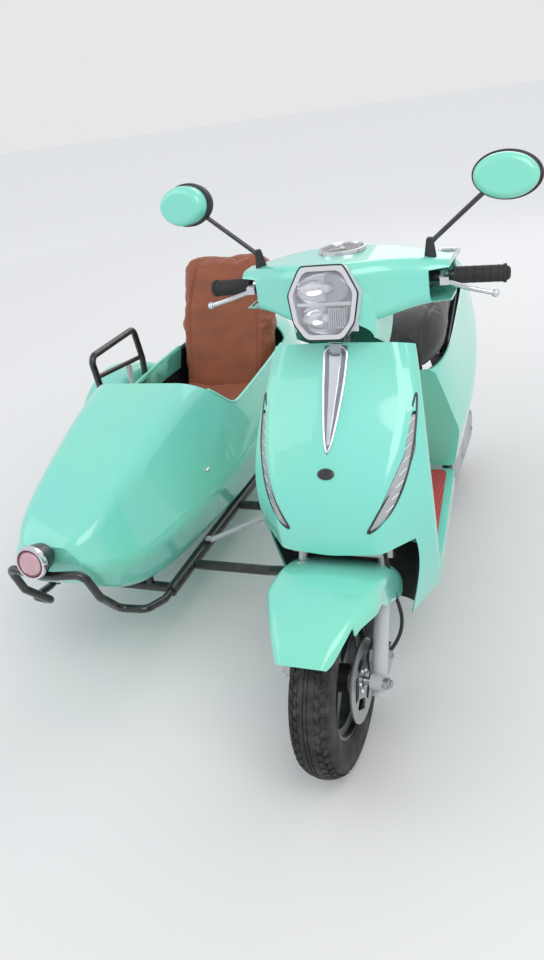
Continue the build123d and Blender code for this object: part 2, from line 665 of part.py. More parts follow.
def sidecar_solid(inset):
    # y, bottom, middle, top, lower half width, middle half width, upper half width
    table = (
        (78, 346, 394, 442, 66, 100, 60),
        (118, 302, 368, 466, 106, 150, 94),
        (190, 256, 350, 498, 140, 184, 118),
        (400, 210, 340, 566, 175, 226, 148),
        (680, 200, 340, 632, 196, 252, 176),
        (1050, 200, 345, 612, 200, 256, 196),
        (1350, 208, 355, 590, 188, 244, 186),
        (1560, 246, 372, 548, 148, 200, 142),
        (1690, 312, 392, 480, 76, 108, 66),
    )
    faces = []
    for y, z0, z1, z2, low, mid, high in table:
        plane = Plane(origin=(SIDECAR_X, y, 0), x_dir=(1, 0, 0), z_dir=(0, -1, 0))
        half = [(low - inset, z0 + inset), (mid - inset, z1), (high - inset, z2 - inset)]
        size = high * 0.45
        faces.append(plane * rounded(mirrored(half), [r - inset for r in (size * 0.6, size, size, size, size, size * 0.6)]))
    solid = loft(faces)
    if inset > 0:
        solid &= block(SIDECAR_X - 400, SIDECAR_X + 400, table[0][0] + inset, table[-1][0] - inset, 100, 900)
    return solid


def seat_plane(z, forward=0):
    """A point of the backrest's front face at height z."""
    return SEAT_BACK_Y + (z - SEAT_JOINT_Z) * tan(radians(SEAT_LEAN)) - forward


back_run = SEAT_BACK_T / cos(radians(SEAT_LEAN)) + FIT
cockpit = rounded(
    [(HOOD_BACK - 60, 760), (HOOD_BACK, 640), (RIM_FRONT_Y, RIM_Z), (1280, RIM_BACK_Z - 2),
     (seat_plane(RIM_BACK_Z) + back_run, RIM_BACK_Z), (seat_plane(760) + back_run, 760)],
    [5, 60, 70, 60, 14, 5],
)
cockpit = side_slab(cockpit, SIDECAR_X - 400, SIDECAR_X + 400)
nodes["sidecar_body"] = sidecar_solid(0) - sidecar_solid(5) - cockpit

liner = sidecar_solid(5.4) - sidecar_solid(9)
liner -= Pos(0, 0, -12) * cockpit
liner &= block(SIDECAR_X - 400, SIDECAR_X + 400, 420, 1380, 100, 900)
nodes["sidecar_liner"] = liner

base = block(SIDECAR_X - 150, SIDECAR_X + 150, 900, 1170, 206, 301 - FIT)
nodes["sidecar_seat_base"] = base & sidecar_solid(9 + FIT)
cushion = front_slab(Pos(SIDECAR_X, 360) * RectangleRounded(2 * SEAT_HALF - 20, 118, 34), 868, 1260)
lean = radians(SEAT_LEAN)
cushion -= beyond_plane((SIDECAR_X, seat_plane(SEAT_JOINT_Z, FIT), SEAT_JOINT_Z), (0, cos(lean), -sin(lean)))
nodes["sidecar_cushion"] = cushion & sidecar_solid(12)


def backrest():
    lean = radians(SEAT_LEAN)
    plane = Plane(origin=(SIDECAR_X, seat_plane(SEAT_JOINT_Z), SEAT_JOINT_Z), x_dir=(1, 0, 0), z_dir=(0, cos(lean), -sin(lean)))
    tall = (SEAT_TOP_Z - SEAT_JOINT_Z) / cos(lean)
    half = [(168, 96), (SEAT_HALF - 4, -tall * 0.45), (166, -tall)]
    return extrude(plane * rounded(mirrored(half), [30, 90, 60, 60, 90, 30]), SEAT_BACK_T)


nodes["sidecar_backrest"] = backrest()

# Sidecar lamp, bumper, handle

lamp_dir = Vector(0, -cos(radians(10)), sin(radians(10)))
lamp_at = Vector(*NOSE_LAMP)
housing = Plane(origin=lamp_at + lamp_dir * -28, z_dir=lamp_dir) * Cone(20, NOSE_LAMP_R + 2, 64)
nose_cup = housing
ring = extrude(Plane(origin=lamp_at + lamp_dir * (4 + FIT), z_dir=lamp_dir) * Circle(NOSE_LAMP_R), 12)
nodes["nose_lamp"] = ring
bumper_half = [(30, 42, 381), (112, 52, 386), (116, 84, 296), (106, 160, 204), (180, 172, 200), (RAIL_HALF, 250, CHASSIS_Z),
               (RAIL_HALF, CHASSIS_FRONT - FIT, CHASSIS_Z)]
bumper = [(SIDECAR_X - x, y, z) for x, y, z in reversed(bumper_half)]
bumper += [(SIDECAR_X + x, y, z) for x, y, z in bumper_half]
nodes["sidecar_bumper"] = tube(bumper, BUMPER_R, 26)
handle = [(SIDECAR_X - 250, 830, 440), (SIDECAR_X - 248, 815, 560), (SIDECAR_X - 246, 800, 670),
          (SIDECAR_X - 246, 1080, 670), (SIDECAR_X - 248, 1100, 560), (SIDECAR_X - 252, 1100, 440)]
hull = sidecar_solid(-FIT)
grab = tube(handle, HANDLE_R, 24)
for y in (830, 1100):
    grab += across(SIDECAR_X - 250, SIDECAR_X - 220, y, 452, 13)
nodes["sidecar_handle"] = grab - hull

# Sidecar chassis and its links to the scooter

chassis = rod((SIDECAR_X - RAIL_HALF, CHASSIS_FRONT, CHASSIS_Z), (SIDECAR_X - RAIL_HALF, 1500, CHASSIS_Z), CHASSIS_R)
chassis += rod((SIDECAR_X + RAIL_HALF, CHASSIS_FRONT, CHASSIS_Z), (SIDECAR_X + RAIL_HALF, 1500, CHASSIS_Z), CHASSIS_R)
for y in (CHASSIS_FRONT + CHASSIS_R, 860, 1400):
    chassis += across(SIDECAR_X - RAIL_HALF, SIDECAR_X + RAIL_HALF, y, CHASSIS_Z, CHASSIS_R - 3)
    for x in (-120, 120) if y < 1400 else (-110, 110):
        chassis += extrude(Plane(origin=(SIDECAR_X + x, y, CHASSIS_Z)) * Circle(11), 70)
nodes["sidecar_chassis"] = chassis - hull
nodes["nose_lamp_housing"] = nose_cup - hull
link_end = -RAIL_X - FRAME_TUBE_R - FIT
chassis_side = SIDECAR_X + RAIL_HALF + CHASSIS_R + FIT
links = []
for start, end in ((420, 352), (760, 700)):
    run = [(chassis_side, start, CHASSIS_Z), (-320, start, CHASSIS_Z), (-170, end, RAIL_Z), (link_end, end, RAIL_Z)]
    links.append(tube(run, FRAME_TUBE_R, 50))
nodes["link_tubes"] = Compound(links)

ARM_X = -1040
trail = across(ARM_X - 18, SIDECAR_X - RAIL_HALF - CHASSIS_R - FIT, 900, CHASSIS_Z, 14)
trail += rod((ARM_X, 900, CHASSIS_Z), (ARM_X, SIDECAR_WHEEL_Y, TYRE_R), 12)
trail += across(ARM_X - 14, ARM_X + 14, SIDECAR_WHEEL_Y, TYRE_R, 18)
trail -= across(ARM_X - 15, ARM_X + 15, SIDECAR_WHEEL_Y, TYRE_R, HUB_BORE)
nodes["sidecar_arm"] = trail
spindle = across(SIDECAR_WHEEL_X - 42, ARM_X + 14 + FIT, SIDECAR_WHEEL_Y, TYRE_R, HUB_BORE - FIT)
spindle += across(SIDECAR_WHEEL_X - 48, SIDECAR_WHEEL_X - 40, SIDECAR_WHEEL_Y, TYRE_R, 14)
spindle += across(ARM_X + 14 + FIT, ARM_X + 22, SIDECAR_WHEEL_Y, TYRE_R, 13)
nodes["sidecar_axle"] = spindle


def sidecar_fender():
    profile = rounded([(-FENDER_HALF, 190), (-FENDER_HALF, FENDER_R), (FENDER_HALF, FENDER_R), (FENDER_HALF, 190)], [4, 26, 26, 4])
    inner = rounded([(-FENDER_HALF + PANEL, 180), (-FENDER_HALF + PANEL, FENDER_R - PANEL), (FENDER_HALF - PANEL, FENDER_R - PANEL),
                     (FENDER_HALF - PANEL, 180)], [4, 22, 22, 4])
    place = Plane(origin=(SIDECAR_WHEEL_X, SIDECAR_WHEEL_Y, TYRE_R), x_dir=(1, 0, 0), z_dir=(0, -1, 0))
    axle_line = Axis((SIDECAR_WHEEL_X, SIDECAR_WHEEL_Y, TYRE_R), (1, 0, 0))
    shell = revolve(place * profile, axle_line) - revolve(place * inner, axle_line)
    keep = rounded([(780, 260), (1460, 260), (1460, 560), (780, 560)], [10, 10, 10, 10])
    return shell & side_slab(keep, SIDECAR_WHEEL_X - 100, SIDECAR_WHEEL_X + 100)


nodes["sidecar_fender"] = sidecar_fender()
stays = []
for y in (1010, 1230):
    stays.append(block(SIDECAR_WHEEL_X + FENDER_HALF + FIT, SIDECAR_X - 200, y - 16, y + 16, 330, 366) - hull)
nodes["fender_stays"] = Compound(stays)

os.makedirs("parts", exist_ok=True)
for name, shape in nodes.items():
    export_step(Pos(-MIDDLE_X, -MIDDLE_Y, 0) * shape, f"parts/{name}.step")
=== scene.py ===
"""Looks of a step-through scooter with a boat-shaped sidecar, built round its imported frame."""

from math import cos, exp, pi, radians, sin, sqrt

import bpy
from bpy.props import FloatProperty, FloatVectorProperty, IntProperty, PointerProperty
from bpy.types import Operator, Panel, PropertyGroup
from mathutils import Matrix, Vector
from mathutils.bvhtree import BVHTree


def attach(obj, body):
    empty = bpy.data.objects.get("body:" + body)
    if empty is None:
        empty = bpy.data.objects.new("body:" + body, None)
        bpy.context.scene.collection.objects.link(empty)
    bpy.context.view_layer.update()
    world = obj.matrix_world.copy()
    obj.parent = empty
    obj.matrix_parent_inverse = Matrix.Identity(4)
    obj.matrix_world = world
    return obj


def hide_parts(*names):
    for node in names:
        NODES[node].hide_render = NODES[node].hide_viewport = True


bl_info = {
    "name": "Scooter with sidecar",
    "version": (1, 0, 0),
    "blender": (4, 5, 0),
    "location": "View3D > Sidebar > Vehicle",
    "description": "Builds the finishes, upholstery, lamps and fittings of a scooter with a sidecar",
    "category": "Object",
}

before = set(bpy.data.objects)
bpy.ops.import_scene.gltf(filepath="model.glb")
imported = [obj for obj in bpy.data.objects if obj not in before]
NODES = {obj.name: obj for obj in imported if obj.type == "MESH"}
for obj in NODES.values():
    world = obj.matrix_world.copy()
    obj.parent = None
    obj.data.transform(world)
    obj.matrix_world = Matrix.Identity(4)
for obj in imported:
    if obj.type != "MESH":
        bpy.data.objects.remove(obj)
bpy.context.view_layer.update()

# The scooter's front axle on the ground, in the row frame
FORE_X = 0.398
FORE_Y = -0.742
RAKE = radians(26)
AXIS_Y = -80
TYRE_R = 215
WHEELBASE = 1300
SIDECAR_X = -755         # middle of the sidecar's body
SIDECAR_WHEEL = (-1115, 1120)
MIRROR = (335, 366, 1172)
MIRROR_STRETCH = 60 / 41

# The photo's camera: place in metres, then yaw, pitch and roll in degrees
CAMERA_PLACE = (0.914, -2.033, 1.432)
CAMERA_TURN = (24.67, 27.16, -9.47)


def at(x, y, z):
    """Millimetres from the front axle's foot to a point in the row frame."""
    return Vector((FORE_X + x / 1000, FORE_Y + y / 1000, z / 1000))


def steer(x, back, s):
    """A point by its height s along the steering axis and its distance back from it."""
    return at(x, AXIS_Y + s * sin(RAKE) + back * cos(RAKE), s * cos(RAKE) - back * sin(RAKE))


# Materials


def add_node(tree, kind, inputs, **settings):
    """A shader node with its settings, each input set to a value or linked from a socket."""
    node = tree.nodes.new("ShaderNode" + kind)
    for key, value in settings.items():
        setattr(node, key, value)
    for key, value in inputs.items():
        if isinstance(value, bpy.types.NodeSocket):
            tree.links.new(value, node.inputs[key])
        else:
            node.inputs[key].default_value = value
    return node


def blank(name, color, rough, metal=0.0):
    """A new material, its tree, its shader and its object coordinates."""
    mat = bpy.data.materials.new(name)
    mat.use_nodes = True
    tree = mat.node_tree
    shader = tree.nodes["Principled BSDF"]
    shader.inputs["Base Color"].default_value = (*color, 1)
    shader.inputs["Roughness"].default_value = rough
    shader.inputs["Metallic"].default_value = metal
    return mat, tree, shader, add_node(tree, "TexCoord", {}).outputs["Object"]


def clear_coat(shader, weight, rough):
    """A layer of lacquer over the finish."""
    shader.inputs["Coat Weight"].default_value = weight
    shader.inputs["Coat Roughness"].default_value = rough


def noise(tree, coords, scale, detail=3.0, stretch=(1, 1, 1), output="Fac"):
    """A noise pattern on object coordinates."""
    mapping = add_node(tree, "Mapping", {"Scale": stretch, "Vector": coords})
    pattern = {"Scale": scale, "Detail": detail, "Vector": mapping.outputs["Vector"]}
    return add_node(tree, "TexNoise", pattern).outputs[output]


def waves(tree, coords, scale, axis):
    """Even bands across an axis."""
    return add_node(tree, "TexWave", {"Scale": scale, "Vector": coords}, bands_direction=axis).outputs["Fac"]


def ramp(tree, value, low, high, a=(0, 0, 0), b=(1, 1, 1)):
    """A colour ramp from a at low to b at high."""
    node = add_node(tree, "ValToRGB", {"Fac": value})
    for i, (position, color) in enumerate(((low, a), (high, b))):
        node.color_ramp.elements[i].position = position
        node.color_ramp.elements[i].color = (*color, 1)
    return node.outputs["Color"]


def tint(tree, shader, value, low, high, a, b):
    """Base colour that runs from a to b with a value."""
    tree.links.new(ramp(tree, value, low, high, a, b), shader.inputs["Base Color"])


def bump(tree, shader, height, strength, distance):
    """Relief from a height value."""
    node = add_node(tree, "Bump", {"Strength": strength, "Distance": distance, "Height": height})
    tree.links.new(node.outputs["Normal"], shader.inputs["Normal"])


def vary_rough(tree, shader, value, low, high):
    """Roughness that runs from low to high with a value from 0 to 1."""
    node = add_node(tree, "MapRange", {"To Min": low, "To Max": high, "Value": value})
    tree.links.new(node.outputs["Result"], shader.inputs["Roughness"])


def paint_finish(name, color, painted_sheen):
    """Mint paint: its colour mixed in noise patches with a bluer painted sky sheen, road dust low down, clear
    coat with faint orange peel.
    """
    mat, tree, shader, coords = blank(name, color, 0.32)
    clear_coat(shader, 1.0, 0.05)
    shader.inputs["Specular IOR Level"].default_value = 0.5
    # Painted sheen: noise patches shift the colour towards a bluer tint that stands in for reflected sky.
    paint_and_sheen = ramp(tree, noise(tree, coords, 3.2, 2.0), 0.38, 0.62, color, painted_sheen)
    height = add_node(tree, "SeparateXYZ", {"Vector": coords}).outputs["Z"]
    low = ramp(tree, height, 0.14, 0.42, (1, 1, 1), (0, 0, 0))
    grime = noise(tree, coords, 26, 6.0)
    dust = add_node(tree, "Math", {0: low, 1: ramp(tree, grime, 0.45, 0.75)}, operation="MULTIPLY")
    weak = add_node(tree, "Math", {0: dust.outputs[0], 1: 0.35}, operation="MULTIPLY")
    layers = {"Factor": weak.outputs[0], "A": paint_and_sheen, "B": (0.20, 0.19, 0.16, 1)}
    mix = add_node(tree, "Mix", layers, data_type="RGBA")
    tree.links.new(mix.outputs["Result"], shader.inputs["Base Color"])
    bump(tree, shader, noise(tree, coords, 240, 1.0), 0.06, 0.0004)
    vary_rough(tree, shader, grime, 0.26, 0.42)
    return mat


def enamel(name, color, rough=0.28, coat=0.6, wear=0.05):
    """Baked paint on tube or casting, with a little dust and fine relief."""
    mat, tree, shader, coords = blank(name, color, rough)
    clear_coat(shader, coat, 0.12)
    cloud = noise(tree, coords, 38, 5.0)
    tint(tree, shader, cloud, 0.5, 0.85, color, tuple(c + (0.32 - c) * wear * 2 for c in color))
    vary_rough(tree, shader, cloud, rough - 0.08, rough + 0.16)
    bump(tree, shader, noise(tree, coords, 420, 2.0), 0.10, 0.0004)
    return mat


def metal_finish(name, color, rough, scale, relief, grain=(1, 1, 1)):
    """Metal with a soft grain and smudges in its gloss."""
    mat, tree, shader, coords = blank(name, color, rough, 1.0)
    smudge = noise(tree, coords, 14, 4.0)
    tint(tree, shader, smudge, 0.35, 0.75, color, tuple(c * 0.78 for c in color))
    vary_rough(tree, shader, smudge, max(rough - 0.06, 0.03), rough + 0.12)
    bump(tree, shader, noise(tree, coords, scale, 3.0, grain), relief, 0.0004)
    return mat


def moulded(name, color, rough, grain, relief):
    """Grained plastic or rubber."""
    mat, tree, shader, coords = blank(name, color, rough)
    cells = add_node(tree, "TexVoronoi", {"Scale": grain, "Vector": coords})
    cloud = noise(tree, coords, 24, 5.0)
    tint(tree, shader, cloud, 0.4, 0.8, color, tuple(c * 1.7 + 0.012 for c in color))
    vary_rough(tree, shader, cloud, rough - 0.08, min(rough + 0.14, 1.0))
    bump(tree, shader, cells.outputs["Distance"], relief, 0.0006)
    return mat


def tyre_rubber():
    """Dark tyre rubber, greyed by dust on the tread and sidewall."""
    mat, tree, shader, coords = blank("tyre_rubber", (0.018, 0.018, 0.019), 0.8)
    dust = noise(tree, coords, 30, 8.0)
    tint(tree, shader, dust, 0.42, 0.78, (0.014, 0.014, 0.015), (0.075, 0.072, 0.068))
    vary_rough(tree, shader, dust, 0.66, 0.95)
    bump(tree, shader, noise(tree, coords, 700, 3.0), 0.3, 0.0006)
    return mat


def hide_finish(name, color, crease_shade, rough, grain):
    """Leather or vinyl: pebbled grain and long soft creases, with painted shade in the grain's hollows and
    low in the creases.
    """
    mat, tree, shader, coords = blank(name, color, rough)
    shader.inputs["Sheen Weight"].default_value = 0.12
    shader.inputs["Sheen Roughness"].default_value = 0.5
    warp = noise(tree, coords, 60, 2.0, output="Color")
    push = add_node(tree, "Mix", {"Factor": 0.012, "A": coords, "B": warp}, data_type="VECTOR")
    cells = {"Scale": grain, "Vector": push.outputs["Result"]}
    pebble = add_node(tree, "TexVoronoi", cells, feature="DISTANCE_TO_EDGE").outputs["Distance"]
    crease = noise(tree, coords, 11, 7.0, (1, 1, 2.2))
    relief = {0: ramp(tree, pebble, 0.0, 0.12), 1: 0.35, 2: crease}
    both = add_node(tree, "Math", relief, operation="MULTIPLY_ADD")
    # Painted shade: the edges of the grain's cells are darkened.
    grain_shade = ramp(tree, pebble, 0.0, 0.08, (0.55, 0.55, 0.55), (1, 1, 1))
    # Painted shade: where the crease relief is low, the colour runs to its darker copy.
    layers = {"Factor": 0.35, "A": ramp(tree, crease, 0.34, 0.68, crease_shade, color), "B": grain_shade}
    mix = add_node(tree, "Mix", layers, data_type="RGBA", blend_type="MULTIPLY")
    tree.links.new(mix.outputs["Result"], shader.inputs["Base Color"])
    vary_rough(tree, shader, crease, rough - 0.08, rough + 0.12)
    bump(tree, shader, both.outputs[0], 0.4, 0.0012)
    return mat


def clear_lens(name, color, rough, flutes, alpha, axis="X"):
    """Clear moulded plastic, fluted where the real lamp has flutes."""
    mat, tree, shader, coords = blank(name, color, rough)
    clear_coat(shader, 1.0, 0.02)
    for key, value in (("Alpha", alpha), ("IOR", 1.5), ("Specular IOR Level", 0.7)):
        shader.inputs[key].default_value = value
    if flutes:
        bump(tree, shader, waves(tree, coords, flutes, axis), 0.5, 0.0012)
    else:
        bump(tree, shader, noise(tree, coords, 30, 3.0), 0.05, 0.0004)
    return mat


def ribbed_mat(name, color):
    """Rubber floor mat with lengthwise ribs."""
    mat, tree, shader, coords = blank(name, color, 0.6)
    dust = noise(tree, coords, 20, 6.0)
    tint(tree, shader, dust, 0.4, 0.8, color, tuple(c * 0.6 + 0.05 for c in color))
    bump(tree, shader, waves(tree, coords, 32, "X"), 0.8, 0.002)
    vary_rough(tree, shader, dust, 0.5, 0.75)
    return mat


MATERIALS = {}


def build_materials(tint, seat):
    """Every finish of the vehicle, by name."""
    m = MATERIALS
    # A bluer copy of the paint colour, used as painted sky sheen.
    sky_sheen_tint = (tint[0] * 0.94, tint[1] * 0.98, min(tint[2] * 1.08, 1))
    m["mint"] = paint_finish("mint_pearl", tuple(tint), sky_sheen_tint)
    m["black_gloss"] = enamel("black_enamel", (0.012, 0.012, 0.013))
    m["black_tube"] = enamel("black_tube_enamel", (0.014, 0.014, 0.014), 0.35, 0.4, 0.08)
    m["silver"] = enamel("silver_enamel", (0.50, 0.51, 0.54), 0.34, 0.5, 0.02)
    m["cast"] = metal_finish("cast_alloy", (0.56, 0.57, 0.59), 0.42, 260, 0.3)
    m["chrome"] = metal_finish("chrome", (0.82, 0.83, 0.86), 0.07, 60, 0.01)
    m["soft_chrome"] = metal_finish("satin_chrome", (0.74, 0.75, 0.78), 0.22, 90, 0.03)
    m["steel"] = metal_finish("turned_steel", (0.52, 0.52, 0.53), 0.3, 120, 0.15, (1, 1, 12))
    m["bezel"] = enamel("bezel_grey", (0.60, 0.60, 0.64), 0.3, 0.7, 0.0)
    m["plastic"] = moulded("black_plastic", (0.016, 0.016, 0.017), 0.5, 1400, 0.2)
    m["rubber"] = moulded("black_rubber", (0.013, 0.013, 0.013), 0.62, 1000, 0.3)
    m["lining"] = moulded("tub_lining", (0.009, 0.009, 0.010), 0.85, 500, 0.5)
    m["tyre"] = tyre_rubber()
    # Each hide's darker copy of its colour is painted shade for its creases.
    m["leather"] = hide_finish("brown_leather", tuple(seat), tuple(c * 0.72 for c in seat), 0.46, 330)
    m["vinyl"] = hide_finish("black_vinyl", (0.016, 0.016, 0.017), (0.010, 0.010, 0.010), 0.42, 420)
    m["lens"] = clear_lens("lamp_lens", (0.80, 0.81, 0.86), 0.05, 0, 0.16)
    m["smoke"] = clear_lens("signal_lens", (0.60, 0.63, 0.65), 0.12, 45, 0.55, "Z")
    m["red"] = clear_lens("red_lens", (0.55, 0.015, 0.015), 0.12, 60, 0.82)
    m["pink"] = clear_lens("rose_lens", (0.80, 0.50, 0.55), 0.1, 50, 0.5)
    m["rose_ring"] = enamel("rose_ring", (0.26, 0.06, 0.09), 0.3, 0.6, 0.0)
    m["mat"] = ribbed_mat("red_mat", (0.52, 0.055, 0.055))
    m["mirror"] = metal_finish("mirror_glass", (0.88, 0.90, 0.92), 0.03, 20, 0.0)
    m["dial"] = enamel("dial_face", (0.02, 0.02, 0.022), 0.25, 0.8, 0.0)
    m["smoke_chrome"] = metal_finish("dark_chrome", (0.34, 0.36, 0.40), 0.16, 60, 0.02)
    m["ivory"] = enamel("dial_marks", (0.75, 0.75, 0.70), 0.4, 0.2, 0.0)


FINISH_NODES = {
    "cast": "brake_caliper drive_unit",
    "steel": "brake_disc fork_yoke front_axle sidecar_axle silencer",
    "soft_chrome": "brake_levers rear_shocks",
    "chrome": "chrome_tie grab_rail",
    "mat": "floor_mat",
    "mint": "floor_pan front_fender handlebar_cowl inner_shield leg_shield "
            "mirror_heads rear_body sidecar_body sidecar_fender",
    "silver": "fork_lowers",
    "black_tube": "frame_tubes link_tubes sidecar_arm sidecar_chassis fender_stays",
    "black_gloss": "front_rim handlebar mirror_stems nose_lamp_housing rear_rim "
                   "sidecar_bumper sidecar_handle sidecar_rim",
    "tyre": "front_tyre rear_tyre sidecar_tyre",
    "rubber": "grips",
    "bezel": "headlight_bezel",
    "lens": "headlight_lens",
    "dial": "instrument",
    "pink": "nose_lamp",
    "plastic": "rear_mudguard sidecar_seat_base wheel_arch_liner",
    "vinyl": "saddle",
    "leather": "sidecar_backrest sidecar_cushion",
    "lining": "sidecar_liner",
    "smoke": "signal_lamps",
    "red": "tail_lamp",
}
NODE_FINISH = {node: finish for finish, nodes in FINISH_NODES.items() for node in nodes.split()}


# Modelling helpers


def deselect():
    """Leaves edit mode with nothing selected."""
    if bpy.context.object and bpy.context.object.mode != "OBJECT":
        bpy.ops.object.mode_set(mode="OBJECT")
    bpy.ops.object.select_all(action="DESELECT")


def only(obj):
    """Selects obj alone and makes it active."""
    deselect()
    obj.select_set(True)
    bpy.context.view_layer.objects.active = obj


def edit_all(obj):
    """Opens the whole mesh of obj in edit mode."""
    only(obj)
    bpy.ops.object.mode_set(mode="EDIT")
    bpy.ops.mesh.select_all(action="SELECT")


def leave_edit():
    bpy.ops.object.mode_set(mode="OBJECT")


def primitive(kind, name, **keys):
    """Adds a primitive and names it."""
    deselect()
    getattr(bpy.ops.mesh, f"primitive_{kind}_add")(**keys)
    obj = bpy.context.object
    obj.name = name
    return obj


def settle(obj):
    """Writes the object's place, turn and scale into its mesh."""
    only(obj)
    bpy.ops.object.transform_apply(location=True, rotation=True, scale=True)
    return obj


def moved(obj, matrix):
    """Places obj by a matrix and writes that into its mesh."""
    obj.matrix_world = matrix
    return settle(obj)


def stretched(obj, scale):
    """Scales obj and writes that into its mesh."""
    obj.scale = scale
    return settle(obj)


def put(obj, place, towards=None, upright=(0, 0, 1)):
    """Stands a piece modelled along +Z at place, its Z turned towards a direction."""
    turn = Matrix.Identity(3)
    if towards is not None:
        z = Vector(towards).normalized()
        side = Vector(upright).cross(z)
        if side.length < 1e-6:
            side = Vector((1, 0, 0)).cross(z)
        side.normalize()
        turn = Matrix((side, z.cross(side), z)).transposed()
    return moved(obj, Matrix.Translation(place) @ turn.to_4x4())


def apply(obj, kind, **values):
    """Adds a modifier, sets it and applies it."""
    only(obj)
    modifier = obj.modifiers.new(kind.lower(), kind)
    for key, value in values.items():
        setattr(modifier, key, value)
    bpy.ops.object.modifier_apply(modifier=modifier.name)


def clean(obj):
    """Merges doubles and turns the faces outwards."""
    edit_all(obj)
    bpy.ops.mesh.remove_doubles(threshold=1e-5)
    bpy.ops.mesh.normals_make_consistent(inside=False)
    leave_edit()
    return obj


def twin(node, name):
    """A loose, cleaned copy of a CAD piece."""
    source = NODES[node]
    obj = source.copy()
    obj.data = source.data.copy()
    obj.name = name
    obj.parent = None
    bpy.context.collection.objects.link(obj)
    obj.matrix_world = Matrix.Identity(4)
    return clean(obj)


def finished(obj, finish, body, angle=35):
    """Gives a piece its finish and its body."""
    only(obj)
    bpy.ops.object.shade_smooth_by_angle(angle=radians(angle))
    obj.data.materials.clear()
    obj.data.materials.append(MATERIALS[finish])
    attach(obj, body)
    deselect()
    return obj


def turned(name, profile, steps=40, ring=False):
    """A ring grown along Z by extruding and resizing: profile is (distance, radius) pairs in metres."""
    z, r = profile[0]
    obj = primitive("circle", name, vertices=steps, radius=r, location=(0, 0, z))
    settle(obj)
    edit_all(obj)
    for next_z, next_r in profile[1:]:
        bpy.ops.mesh.extrude_region_move(TRANSFORM_OT_translate={"value": (0, 0, next_z - z)})
        bpy.ops.transform.resize(value=(next_r / r, next_r / r, 1))
        z, r = next_z, next_r
    bpy.ops.mesh.select_all(action="DESELECT")
    bpy.ops.mesh.select_mode(type="EDGE")
    bpy.ops.mesh.select_non_manifold()
    if ring:
        bpy.ops.mesh.bridge_edge_loops()
    else:
        bpy.ops.mesh.fill_holes(sides=0)
    bpy.ops.mesh.select_all(action="SELECT")
    bpy.ops.mesh.normals_make_consistent(inside=False)
    leave_edit()
    return obj


def slab(name, low, high, round_edge=0.0, segments=3):
    """A block between two corners with rounded edges."""
    low, high = Vector(low), Vector(high)
    obj = primitive("cube", name, size=1, location=(low + high) / 2)
    stretched(obj, high - low)
    if round_edge:
        apply(obj, "BEVEL", width=round_edge, segments=segments)
    return obj


def copies(obj, matrices):
    """One copy of obj per matrix."""
    made = []
    for matrix in matrices:
        twin = obj.copy()
        twin.data = obj.data.copy()
        bpy.context.collection.objects.link(twin)
        twin.matrix_world = matrix @ obj.matrix_world
        made.append(twin)
    return made


def joined(name, objects):
    """Several pieces as one mesh at the origin."""
    deselect()
    for obj in objects:
        obj.select_set(True)
    bpy.context.view_layer.objects.active = objects[0]
    if len(objects) > 1:
        bpy.ops.object.join()
    obj = bpy.context.object
    obj.name = name
    return settle(obj)


def bolt(place, towards, size, height):
    """A six-sided head with a washer, chamfered."""
    head = turned("bolt", [(0, size * 1.5), (0.0012, size * 1.5), (0.00121, size), (height * 0.8, size),
                           (height, size * 0.82)], 6)
    return put(head, place, towards)


def line_curve(name, dimensions, kind, places):
    """A curve with one spline through places, and that spline."""
    data = bpy.data.curves.new(name, "CURVE")
    data.dimensions = dimensions
    spline = data.splines.new(kind)
    spline.points.add(len(places) - 1)
    for point, place in zip(spline.points, places):
        point.co = (*place, 1)
    return data, spline


def added(name, data):
    """A new object in the scene."""
    obj = bpy.data.objects.new(name, data)
    bpy.context.collection.objects.link(obj)
    return obj


def as_mesh(name, data):
    """A curve as a mesh."""
    only(added(name, data))
    bpy.ops.object.convert(target="MESH")
    return bpy.context.object


def wire(name, points, radius, cyclic=False, order=4):
    """A round tube on a smooth line through control points, as a mesh."""
    data, spline = line_curve(name, "3D", "NURBS", points)
    spline.order_u = order
    spline.use_endpoint_u = not cyclic
    spline.use_cyclic_u = cyclic
    spline.resolution_u = 6
    data.bevel_depth = radius
    data.bevel_resolution = 3
    data.use_fill_caps = True
    return clean(as_mesh(name, data))


VOXEL = 0.006            # mesh size of the cushions, in metres
CLOTH_STEPS = 20


def puffed(name, node, shrink, cap, pressure):
    """A cushion blown up by cloth simulation from a slightly smaller copy of its solid."""
    obj = twin(node, name)
    edit_all(obj)
    bpy.ops.transform.shrink_fatten(value=-shrink)
    leave_edit()
    obj.data.remesh_voxel_size = VOXEL
    bpy.ops.object.voxel_remesh()
    before = [v.co.copy() for v in obj.data.vertices]
    cloth = obj.modifiers.new("cloth", "CLOTH")
    cloth.settings.use_pressure = True
    cloth.settings.uniform_pressure_force = pressure
    cloth.settings.effector_weights.gravity = 0
    cloth.settings.quality = 5
    scene = bpy.context.scene
    for step in range(1, CLOTH_STEPS + 1):
        scene.frame_set(step)
    shaped = obj.evaluated_get(bpy.context.evaluated_depsgraph_get())
    after = [v.co.copy() for v in shaped.data.vertices]
    obj.modifiers.remove(cloth)
    for vertex, a, b in zip(obj.data.vertices, before, after):
        move = b - a
        if move.length > cap:
            move *= cap / move.length
        vertex.co = a + move
    scene.frame_set(1)
    apply(obj, "SMOOTH", factor=0.5, iterations=2)
    apply(obj, "SUBSURF", levels=1, render_levels=1)
    return obj


def groove(obj, depth, width, distance_to):
    """Presses a seam into a padded piece along the line that distance_to measures from."""
    normals = [v.normal.copy() for v in obj.data.vertices]
    for vertex, normal in zip(obj.data.vertices, normals):
        gap = distance_to(vertex.co, normal)
        if gap is not None and abs(gap) < width * 3:
            vertex.co -= normal * depth * exp(-((gap / width) ** 2))


TREES = {}


